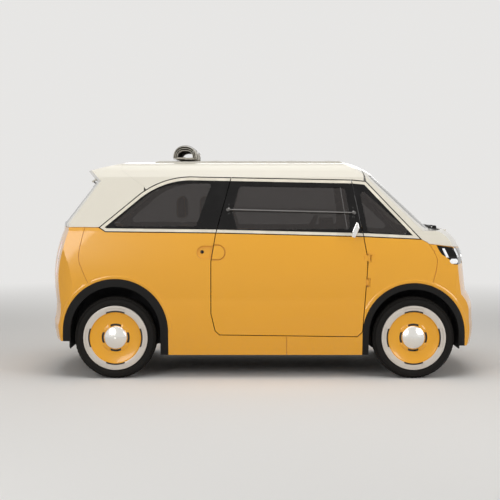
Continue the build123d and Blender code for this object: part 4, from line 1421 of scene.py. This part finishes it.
@dataclass
class Wiper:
    """The wiper: a capped pivot, an arm, a holder and a rubber blade."""

    pivot: Point = (1.280, -0.180, 1.0405)
    level: float = 1.056
    blade_back: float = 0.020
    clips: tuple[float, ...] = (0.02, 0.13, 0.24)
    cap: Outline = ((0.0003, 0.0), (0.016, 0.0), (0.016, 0.012), (0.013, 0.021), (0.006, 0.0245), (0.0003, 0.025))

    def build(self, shop: Workshop) -> None:
        """Make the wiper over its CAD rods."""
        (x, y, _), up = self.pivot, self.level
        back = x - self.blade_back
        mesh = bmesh.new()
        lathe(mesh, self.cap, Matrix.Translation(Vector(self.pivot)), 36)
        arm = [Vector((x, y, up)), Vector((x - 0.006, y + 0.08, up + 0.004)), Vector((back, 0.130, up))]
        tube(mesh, arm, 0.0062, 10)
        tube(mesh, [Vector((back, k, up)) for k in steps(-0.118, 0.328, 24)], 0.0055, 10)
        block(mesh, (x - 0.0215, -0.117, up - 0.0125), (x - 0.0185, 0.327, up - 0.003), 0.0008)
        for k in self.clips:
            block(mesh, (x - 0.027, k - 0.010, up - 0.005), (x - 0.013, k + 0.010, up + 0.0075), 0.0025, 2)
        piece = shop.piece("wiper_arm", mesh, Slot.TRIM, 40.0)
        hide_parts("wiper")


@dataclass
class RearSprings:
    """Coil springs with rubber seats round the rear axle's posts."""

    radius: float = 0.056
    turns: float = 4.5
    low: float = 0.330
    high: float = 0.424
    post_y: float = 0.300
    seat: Outline = ((0.0460, 0.0), (0.0640, 0.0), (0.0640, 0.006), (0.0600, 0.008), (0.0460, 0.008))

    def build(self, shop: Workshop) -> None:
        """Make both springs."""
        for side, sign in SIDES:
            y = sign * self.post_y
            spring, seats = bmesh.new(), bmesh.new()
            tube(spring, self._coil(y), 0.0055, 10)
            shop.piece(f"rear_spring_{side}", spring, Slot.CAST, 60.0)
            for level in (self.low - 0.010, self.high + 0.003):
                lathe(seats, self.seat, Matrix.Translation(Vector((REAR_AXLE, y, level))), 40)
            shop.piece(f"spring_seats_{side}", seats, Slot.TRIM, 40.0)

    def _coil(self, y: float) -> list[Vector]:
        """The middle line of one spring."""
        count = int(self.turns * 20)
        points = []
        for i in range(count + 1):
            turn = math.tau * self.turns * i / count
            x, up = REAR_AXLE + self.radius * math.cos(turn), self.low + (self.high - self.low) * i / count
            points.append(Vector((x, y + self.radius * math.sin(turn), up)))
        return points


# ---------------------------------------------------------------------- canvas


@dataclass
class CanvasRoof:
    """The stretched fabric roof, its stitching, and the rolled part behind with straps."""

    span_x: Span = (-0.786, 0.571)
    half: float = 0.427
    rise: float = 0.0108
    hem_lift: float = 0.0008
    bows: tuple[float, ...] = (-0.36, -0.08, 0.20, 0.47)
    stitch_inset: float = 0.020
    stitch_pitch: float = 0.0085
    roll_x: float = -0.5740
    roll_outer: tuple[float, float, float, float] = (0.0885, 1.5490, 1.6545, 0.022)
    roll_inner: tuple[float, float, float, float] = (0.0540, 1.5620, 1.6100, 0.009)
    roll_half: float = 0.376
    roll_turns: int = 3
    cloth: float = 0.0040
    strap_y: float = 0.235
    strap_across: tuple[float, ...] = (-0.015, -0.0135, 0.0135, 0.015)
    clasp: Point = (0.003, 0.020, 0.014)
    clasp_bar: float = 0.004

    def build(self, shop: Workshop) -> None:
        """Make the sheet, its stitches, the roll and the straps."""
        skin = Skin("roof_panel", "windscreen_frame", "rear_pillars")
        base = self._sheet(shop, skin)
        self._stitches(shop, skin)
        self._roll(shop)
        for number, middle in enumerate((-self.strap_y, self.strap_y)):
            self._strap(shop, number, middle)

    def _lift(self, x: float, y: float) -> float:
        """How far the cloth stands off the roof: down at the hem, up over each bow."""
        hem = min(x - self.span_x[0], self.span_x[1] - x, self.half - abs(y))
        level = self.rise - 0.0004 + 0.0018 * sum(math.exp(-(((x - bow) / 0.030) ** 2)) for bow in self.bows)
        level += 0.0004 * math.sin(x * 31.0) * math.sin(y * 23.0)
        return self.hem_lift + (level - self.hem_lift) * min(1.0, max(0.0, hem) / 0.012) ** 0.5

    @staticmethod
    def _lines(low: float, high: float, count: int) -> list[float]:
        """Grid lines that crowd at both hems."""
        inner = steps(low + 0.013, high - 0.013, count)
        return [low, low + 0.003, low + 0.007, *inner, high - 0.007, high - 0.003, high]

    def _sheet(self, shop: Workshop, skin: Skin) -> bpy.types.Object:
        """The stretched sheet."""
        along, across = self._lines(*self.span_x, 110), self._lines(-self.half, self.half, 64)
        mesh = bmesh.new()
        rows = grid(along, across, lambda x, y: (x, y))
        skin.drape(mesh, ROOF, rows, lambda i, j: self._lift(along[i], across[j]), thick=0.0022)
        piece = shop.piece("canvas_sheet", mesh, Slot.CANVAS_CREAM, 60.0)
        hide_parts("canvas_base")
        return piece

    def _stitches(self, shop: Workshop, skin: Skin) -> None:
        """Rows of stitches inside the hem and beside each bow."""
        inset = self.stitch_inset
        low, high, half = self.span_x[0] + inset, self.span_x[1] - inset, self.half - inset
        lines = [((low, y), (high, y)) for y in (-half, half)]
        seams = [low, high] + [bow + off for bow in self.bows for off in (-0.012, 0.012)]
        lines += [((x, -half), (x, half)) for x in seams]
        marks = []
        for (x0, y0), (x1, y1) in lines:
            ahead = Vector((x1 - x0, y1 - y0, 0)).normalized()
            count = int(math.hypot(x1 - x0, y1 - y0) / self.stitch_pitch)
            for x, y in zip(steps(x0, x1, count), steps(y0, y1, count)):
                place, normal = skin.spot(ROOF, x, y)
                marks.append((place + normal * self._lift(x, y), laid(ahead, normal)))
        stitch, mesh = bmesh.new(), bmesh.new()
        block(stitch, (-0.0028, -0.0006, -0.0004), (0.0028, 0.0006, 0.0007), 0.0004)
        shop.stamp(mesh, marks, stitch, Slot.CANVAS, 0.08)
        shop.piece("canvas_stitches", mesh, Slot.CANVAS)

    def _loop(self, share: float, turn: float) -> Span:
        """A point of the roll's D-shaped section, from 0 outside to 1 at the hole."""
        half, low, high, corner = (o + (i - o) * share for o, i in zip(self.roll_outer, self.roll_inner))
        c, s = math.cos(turn), math.sin(turn)
        if s >= 0:
            reach = half * math.copysign(abs(c) ** 0.92, c)
            return self.roll_x + reach, low + corner + (high - low - corner) * s**0.92
        flat = half - corner
        bend = min(1.0, max(0.0, abs(c) - 0.62) / 0.38) ** 0.6
        reach = flat * max(-1.0, min(1.0, c * 1.35)) + corner * math.copysign(bend, c)
        return self.roll_x + reach, low + corner - corner * min(1.0, (-s / 0.72)) ** 0.6

    def _roll(self, shop: Workshop) -> None:
        """The rolled cloth: one strip wound round and round."""
        count = self.roll_turns * 56
        across = steps(-self.roll_half, self.roll_half, 41)
        turns = [-math.pi / 2 + math.tau * self.roll_turns * i / count for i in range(count + 1)]
        path = [self._loop(i / count * 0.92, turn) for i, turn in enumerate(turns)]
        sides = []
        for i in range(count + 1):
            ahead, behind = path[min(i + 1, count)], path[max(i - 1, 0)]
            run = Vector((ahead[0] - behind[0], 0, ahead[1] - behind[1])).normalized()
            sides.append(Vector((-run.z, 0, run.x)))
        mesh = bmesh.new()
        layers = []
        for inward in (0.0, self.cloth):
            rows = []
            for i, (x, z) in enumerate(path):
                row = []
                for k, y in enumerate(across):
                    slack = 0.0009 * math.sin(y * 34.0 + i * 0.11) + 0.0006 * math.sin(y * 71.0 - i * 0.23)
                    end = math.copysign(0.0035 * math.sin(i * 0.16), y) if k in (0, len(across) - 1) else 0.0
                    row.append(mesh.verts.new(Vector((x, y + end, z)) + sides[i] * (inward + 0.0015 + slack)))
                rows.append(row)
            layers.append(rows)
        crust(mesh, *layers)
        piece = shop.piece("canvas_rolled", mesh, Slot.CANVAS, 60.0)
        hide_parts("canvas_roll")
        long = sum(math.dist(a, b) for a, b in zip(path, path[1:]))

    def _strap(self, shop: Workshop, number: int, middle: float) -> None:
        """One strap round the roll, with its buckle."""
        strap, clasp = bmesh.new(), bmesh.new()
        layers = []
        for out in (0.0022, 0.0002):
            path = [self._loop(-out / 0.05, math.radians(-62 + 304 * i / 72)) for i in range(73)]
            layers.append([[strap.verts.new((x, middle + w, z)) for w in self.strap_across] for x, z in path])
        crust(strap, *layers)
        shop.piece(f"roll_strap_{number}", strap, Slot.TRIM, 60.0, finish=STRAP)
        x, z = self._loop(-0.05, math.radians(20))
        thick, half, tall = self.clasp
        bar = self.clasp_bar
        sides = ((-half, bar - half, -tall, tall), (half - bar, half, -tall, tall))
        ends = ((-half, half, -tall, bar - tall), (-half, half, tall - bar, tall))
        for y0, y1, z0, z1 in sides + ends:
            block(clasp, (x - thick, middle + y0, z + z0), (x + thick, middle + y1, z + z1), 0.0008)
        shop.piece(f"roll_clasp_{number}", clasp, Slot.CHROME, 40.0)


# ----------------------------------------------------------------------- cabin


@dataclass(frozen=True)
class Pad:
    """A cushion: its side outline, where it lies across and how it swells."""

    name: str
    outline: Outline
    low: float
    high: float
    cap: float
    voxel: float = 0.008
    rounding: float = 0.022
    channels: tuple[float, ...] = ()


class Upholsterer:
    """Makes padded pieces: remeshed, blown up as cloth, sewn and piped."""

    PRESSURE = 4.0
    FRAMES = 20
    CHANNEL = (0.0050, 0.0065)
    PIPING_PITCH = 0.012

    def __init__(self, shop: Workshop) -> None:
        """Keep the workshop."""
        self.shop = shop
        self.swollen: dict[str, bpy.types.Mesh] = {}

    def shape(self, pad: Pad) -> bpy.types.Mesh:
        """Return the pad's mesh, simulated once per pad name."""
        if pad.name not in self.swollen:
            mesh = bmesh.new()
            prism(mesh, pad.outline, pad.low, pad.high, pad.rounding, 4)
            item = add_mesh(f"{pad.name}_form", mesh)
            remesh = item.modifiers.new("voxels", "REMESH")
            remesh.mode, remesh.voxel_size = "VOXEL", pad.voxel
            self._relax(item, 6)
            self._blow(item, pad)
            finer = item.modifiers.new("finer", "SUBSURF")
            finer.levels = finer.render_levels = 1
            self.swollen[pad.name] = baked(item)
            bpy.data.objects.remove(item)
        return self.swollen[pad.name]

    @staticmethod
    def _relax(item: bpy.types.Object, rounds: int) -> None:
        """Smooth the form that many times and apply all its modifiers."""
        relax = item.modifiers.new("relax", "SMOOTH")
        relax.factor, relax.iterations = 0.5, rounds
        item.data = baked(item)
        item.modifiers.clear()

    def _blow(self, item: bpy.types.Object, pad: Pad) -> None:
        """Blow the pad up with Cloth, and cap how far each point moves."""
        before = [vert.co.copy() for vert in item.data.vertices]
        cloth = item.modifiers.new("cloth", "CLOTH")
        cloth.settings.use_pressure = True
        cloth.settings.uniform_pressure_force = self.PRESSURE
        cloth.settings.effector_weights.gravity = 0.0
        scene = bpy.context.scene
        for number in range(1, self.FRAMES + 1):
            scene.frame_set(number)
        swollen = baked(item)
        item.modifiers.clear()
        scene.frame_set(1)
        for vert, start in zip(swollen.vertices, before):
            moved = vert.co - start
            if moved.length > pad.cap:
                vert.co = start + moved.normalized() * pad.cap
        item.data = swollen
        self._relax(item, 3)

    def make(self, pad: Pad, name: str, move: Vector) -> bpy.types.Object:
        """Sew one padded piece and its piping.

        Args:
            pad: its form.
            name: the piece's name.
            move: where it goes from the pad's own place.

        Returns:
            The padded piece.
        """
        mesh, piping = bmesh.new(), bmesh.new()
        mesh.from_mesh(self.shape(pad))
        mesh.normal_update()
        middle = (pad.low + pad.high) / 2
        depth, width = self.CHANNEL
        for vert in mesh.verts:
            for line in pad.channels:
                for sign in (-1, 1):
                    away = vert.co.y - (middle + sign * line)
                    vert.co -= vert.normal * depth * math.exp(-((away / width) ** 2))
        surface = BVHTree.FromBMesh(mesh)
        for end in (pad.low + pad.rounding * 0.6, pad.high - pad.rounding * 0.6):
            tube(piping, self._piping(pad, surface, end), 0.0030, 8)
        for item in (mesh, piping):
            bmesh.ops.translate(item, verts=item.verts, vec=move)
        piece = self.shop.piece(name, mesh, Slot.SEAT, 180.0)
        self.shop.piece(f"{name}_piping", piping, Slot.SEAT, 60.0, finish=PIPING)
        return piece

    def _piping(self, pad: Pad, surface: BVHTree, y: float) -> list[Vector]:
        """A line on the pad that follows its outline near one end."""
        points: list[Vector] = []
        for (x, z), (x2, z2) in zip(pad.outline, (*pad.outline[1:], pad.outline[0])):
            fine = max(2, int(math.hypot(x2 - x, z2 - z) / self.PIPING_PITCH))
            for k in range(fine):
                near, _, _, _ = surface.find_nearest(Vector((x + (x2 - x) * k / fine, y, z + (z2 - z) * k / fine)))
                if not points or (near - points[-1]).length > 0.004:
                    points.append(near)
        points.append(points[0].copy())
        return points


def shifted(outline: Outline, x: float) -> Outline:
    """An outline moved along X."""
    return tuple((x + along, up) for along, up in outline)


@dataclass
class Cabin:
    """The seats, the bench and the fittings inside; outlines are (x from the hip or axle, z)."""

    hip_x: float = FRONT_AXLE - 1.640
    seat_y: float = 0.330
    seat_half: float = 0.228
    driver_move: Point = (0.140, 0.660, 0)
    squab: Outline = (
        (0.10, 0.440),
        (0.475, 0.430),
        (0.592, 0.462),
        (0.600, 0.512),
        (0.560, 0.540),
        (0.200, 0.526),
        (0.085, 0.530),
    )
    back: Outline = ((0.062, 0.500), (0.180, 0.548), (0.070, 1.070), (0.055, 1.092), (-0.030, 1.088), (0.035, 0.560))
    head: Outline = ((-0.040, 1.125), (0.024, 1.125), (0.016, 1.276), (-0.008, 1.294), (-0.040, 1.256))
    seat_base: Outline = ((0.094, 0.3005), (0.466, 0.3005), (0.476, 0.418), (0.560, 0.442), (0.100, 0.446))
    seat_spine: Outline = ((0.054, 0.478), (0.100, 0.446), (0.120, 0.520), (0.010, 1.080), (-0.038, 1.080))
    bench_half: float = 0.376
    bench_squab: Outline = (
        (0.0, 0.478),
        (0.318, 0.470),
        (0.333, 0.520),
        (0.314, 0.566),
        (0.040, 0.558),
        (0.006, 0.556),
    )
    bench_back: Outline = ((-0.040, 0.545), (0.022, 0.575), (-0.066, 0.945), (-0.092, 0.972), (-0.120, 0.940))
    bench_base: Outline = (
        (-0.019, 0.4455),
        (0.322, 0.4455),
        (0.330, 0.480),
        (-0.020, 0.480),
        (-0.052, 0.545),
        (-0.112, 0.900),
        (-0.126, 0.945),
        (-0.060, 0.522),
    )
    vent_y: tuple[float, ...] = (-0.52, -0.09, 0.09, 0.54)
    vent_z: float = 0.892
    vent_rim: Outline = (
        (0.030, -0.006),
        (0.036, -0.006),
        (0.036, 0.008),
        (0.034, 0.010),
        (0.031, 0.009),
        (0.030, 0.004),
    )
    vent_face: Outline = ((0.0005, -0.004), (0.030, -0.004), (0.030, 0.001), (0.0005, 0.001))
    hood_half: Outline = ((0.098, 0.962), (0.098, 1.060), (0.080, 1.098), (0.040, 1.110))
    pedal_y: tuple[float, ...] = (0.265, 0.375)

    def build(self, shop: Workshop) -> None:
        """Furnish the cabin."""
        sewing = Upholsterer(shop)
        self._seats(shop, sewing)
        self._bench(shop, sewing)
        self._dash(shop)
        self._instruments(shop)
        self._mirror(shop)
        self._pedals(shop)

    def _seats(self, shop: Workshop, sewing: Upholsterer) -> None:
        """Two seats from one set of pads; the driver's is further forward."""
        hip, y = self.hip_x, -self.seat_y
        low, high = y - self.seat_half, y + self.seat_half
        pads = (
            Pad("squab", shifted(self.squab, hip), low + 0.008, high - 0.008, 0.014, channels=(0.075,)),
            Pad("back", shifted(self.back, hip), low + 0.008, high - 0.008, 0.012, channels=(0.075,)),
            Pad("head", shifted(self.head, hip), y - 0.138, y + 0.138, 0.007, 0.006, 0.016),
        )
        for side, move in (("right", Vector((0, 0, 0))), ("left", Vector(self.driver_move))):
            pieces = [sewing.make(pad, f"seat_{pad.name}_{side}", move) for pad in pads]
            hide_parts(f"seat_{side}")
            plinth, posts = bmesh.new(), bmesh.new()
            for outline, inset in ((self.seat_base, 0.016), (self.seat_spine, 0.030)):
                prism(plinth, shifted(outline, hip), low + inset, high - inset, 0.006)
            bmesh.ops.translate(plinth, verts=plinth.verts, vec=move)
            shop.piece(f"seat_plinth_{side}", plinth, Slot.CABIN, 40.0)
            for post_y in (y - 0.055, y + 0.055):
                tube(posts, [Vector((hip - 0.006, post_y, z)) + move for z in (1.06, 1.16)], 0.006)
            shop.piece(f"seat_posts_{side}", posts, Slot.CHROME, 40.0)

    def _bench(self, shop: Workshop, sewing: Upholsterer) -> None:
        """The rear bench: one cushion and one back, over a plinth."""
        half, lines = self.bench_half, (0.0, 0.125, 0.250)
        cushion = Pad("bench_cushion", shifted(self.bench_squab, REAR_AXLE), -half, half, 0.012, channels=lines)
        back = Pad("bench_back", shifted(self.bench_back, REAR_AXLE), -half, half, 0.010, channels=lines)
        first = sewing.make(cushion, "rear_cushion", Vector((0, 0, 0)))
        sewing.make(back, "rear_back", Vector((0, 0, 0)))
        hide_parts("rear_bench")
        mesh = bmesh.new()
        prism(mesh, shifted(self.bench_base, REAR_AXLE), -0.380, 0.380, 0.003)
        shop.piece("bench_plinth", mesh, Slot.CABIN, 40.0)

    def _dash(self, shop: Workshop) -> None:
        """A yellow fascia strip and round vents with louvres."""
        skin = Skin("dashboard")
        strip = bmesh.new()
        rows = grid(steps(0.925, 0.955, 5), steps(-0.58, 0.20, 53), lambda z, y: (y, z))
        skin.drape(strip, DASH, rows, lambda i, j: 0.0022 if 0 < i < 4 else 0.0006)
        shop.piece("dash_strip", strip, Slot.YELLOW, 50.0)
        for number, y in enumerate(self.vent_y):
            foot, _ = skin.spot(DASH, y, self.vent_z)
            place = stand(foot, Vector((-1, 0, 0)))
            vent, blade = bmesh.new(), bmesh.new()
            lathe(vent, self.vent_rim, place, 40)
            lathe(vent, self.vent_face, place, 40)
            block(blade, (-0.026, -0.0012, 0.0), (0.026, 0.0012, 0.006), 0.0005)
            marks = [(place @ Vector((0, k, 0.0005)), place.to_euler()) for k in (-0.014, -0.007, 0.0, 0.007, 0.014)]
            shop.stamp(vent, marks, blade, Slot.GLOSS_BLACK)
            shop.piece(f"vent_{number}", vent, Slot.GLOSS_BLACK, 40.0)

    def _instruments(self, shop: Workshop) -> None:
        """The instrument face under its hood."""
        y = self.seat_y
        face, hood = bmesh.new(), bmesh.new()
        block(face, (FRONT_AXLE - 0.5925, y - 0.078, 0.962), (FRONT_AXLE - 0.5895, y + 0.078, 1.088), 0.0012, 2)
        shop.piece("instrument_glass", face, Slot.GLOSS_BLACK, 40.0)
        x0, x1 = FRONT_AXLE - 0.606, FRONT_AXLE - 0.500
        depths = (x0, (x0 + x1) / 2, x1)
        outer = [(-side, z) for side, z in self.hood_half] + list(reversed(self.hood_half))
        inner = [(side * 0.93, z - 0.004 if z > 1.0 else z) for side, z in outer]
        layers = []
        for outline in (outer, inner):
            layers.append([[hood.verts.new((x, y + side, z)) for x in depths] for side, z in outline])
        crust(hood, *layers)
        shop.piece("instrument_hood", hood, Slot.CABIN, 60.0)

    @staticmethod
    def _mirror(shop: Workshop) -> None:
        """The inside mirror, on a foot stuck to the windscreen."""
        foot, _ = Skin("windscreen").spot(View(0, 0.3, 1), 0.0, 1.372)
        mesh, glass = bmesh.new(), bmesh.new()
        tube(mesh, [foot + Vector(way) for way in ((-0.001, 0, 0), (-0.030, 0, -0.012), (-0.058, 0, -0.030))], 0.006)
        block(mesh, (foot.x - 0.080, -0.110, foot.z - 0.062), (foot.x - 0.056, 0.110, foot.z - 0.002), 0.009, 4)
        shop.piece("inside_mirror", mesh, Slot.CABIN, 40.0)
        block(glass, (foot.x - 0.0815, -0.100, foot.z - 0.055), (foot.x - 0.0798, 0.100, foot.z - 0.009), 0.0006)
        shop.piece("inside_mirror_glass", glass, Slot.CHROME, 40.0)

    def _pedals(self, shop: Workshop) -> None:
        """Two ribbed pedals on hanging arms."""
        for number, y in enumerate(self.pedal_y):
            mesh = bmesh.new()
            tube(mesh, [Vector((0.462, y, 0.700)), Vector((0.430, y, 0.600)), Vector((0.405, y, 0.470))], 0.007)
            block(mesh, (0.388, y - 0.028, 0.425), (0.402, y + 0.028, 0.505), 0.004, 2)
            for k in range(5):
                z = 0.437 + k * 0.014
                block(mesh, (0.385, y - 0.024, z), (0.389, y + 0.024, z + 0.005), 0.001)
            shop.piece(f"pedal_{number}", mesh, Slot.TRIM, 40.0)


# ------------------------------------------------------------------------ main


def main() -> None:
    """Build the pieces in order."""
    logging.basicConfig(level=logging.INFO, format="%(name)s: %(message)s")
    wardrobe = Wardrobe()
    gate = GatePaint("gate_paint", YELLOW, INK)
    rails = {f"window_rail_{side}": RAIL for side, _ in SIDES}
    wardrobe.dress_frame({"tailgate": gate, "headlamps": LAMP_HOUSING, "tail_lamps": TAIL_LENS, **rails})
    shop = Workshop(wardrobe)
    Studio().build()
    for group in (Wheels, Lamps, ArchLips, FrontTrim, DoorRails, Wiper, RearSprings, CanvasRoof, Cabin):
        group().build(shop)


if __name__ == "__main__":
    main()
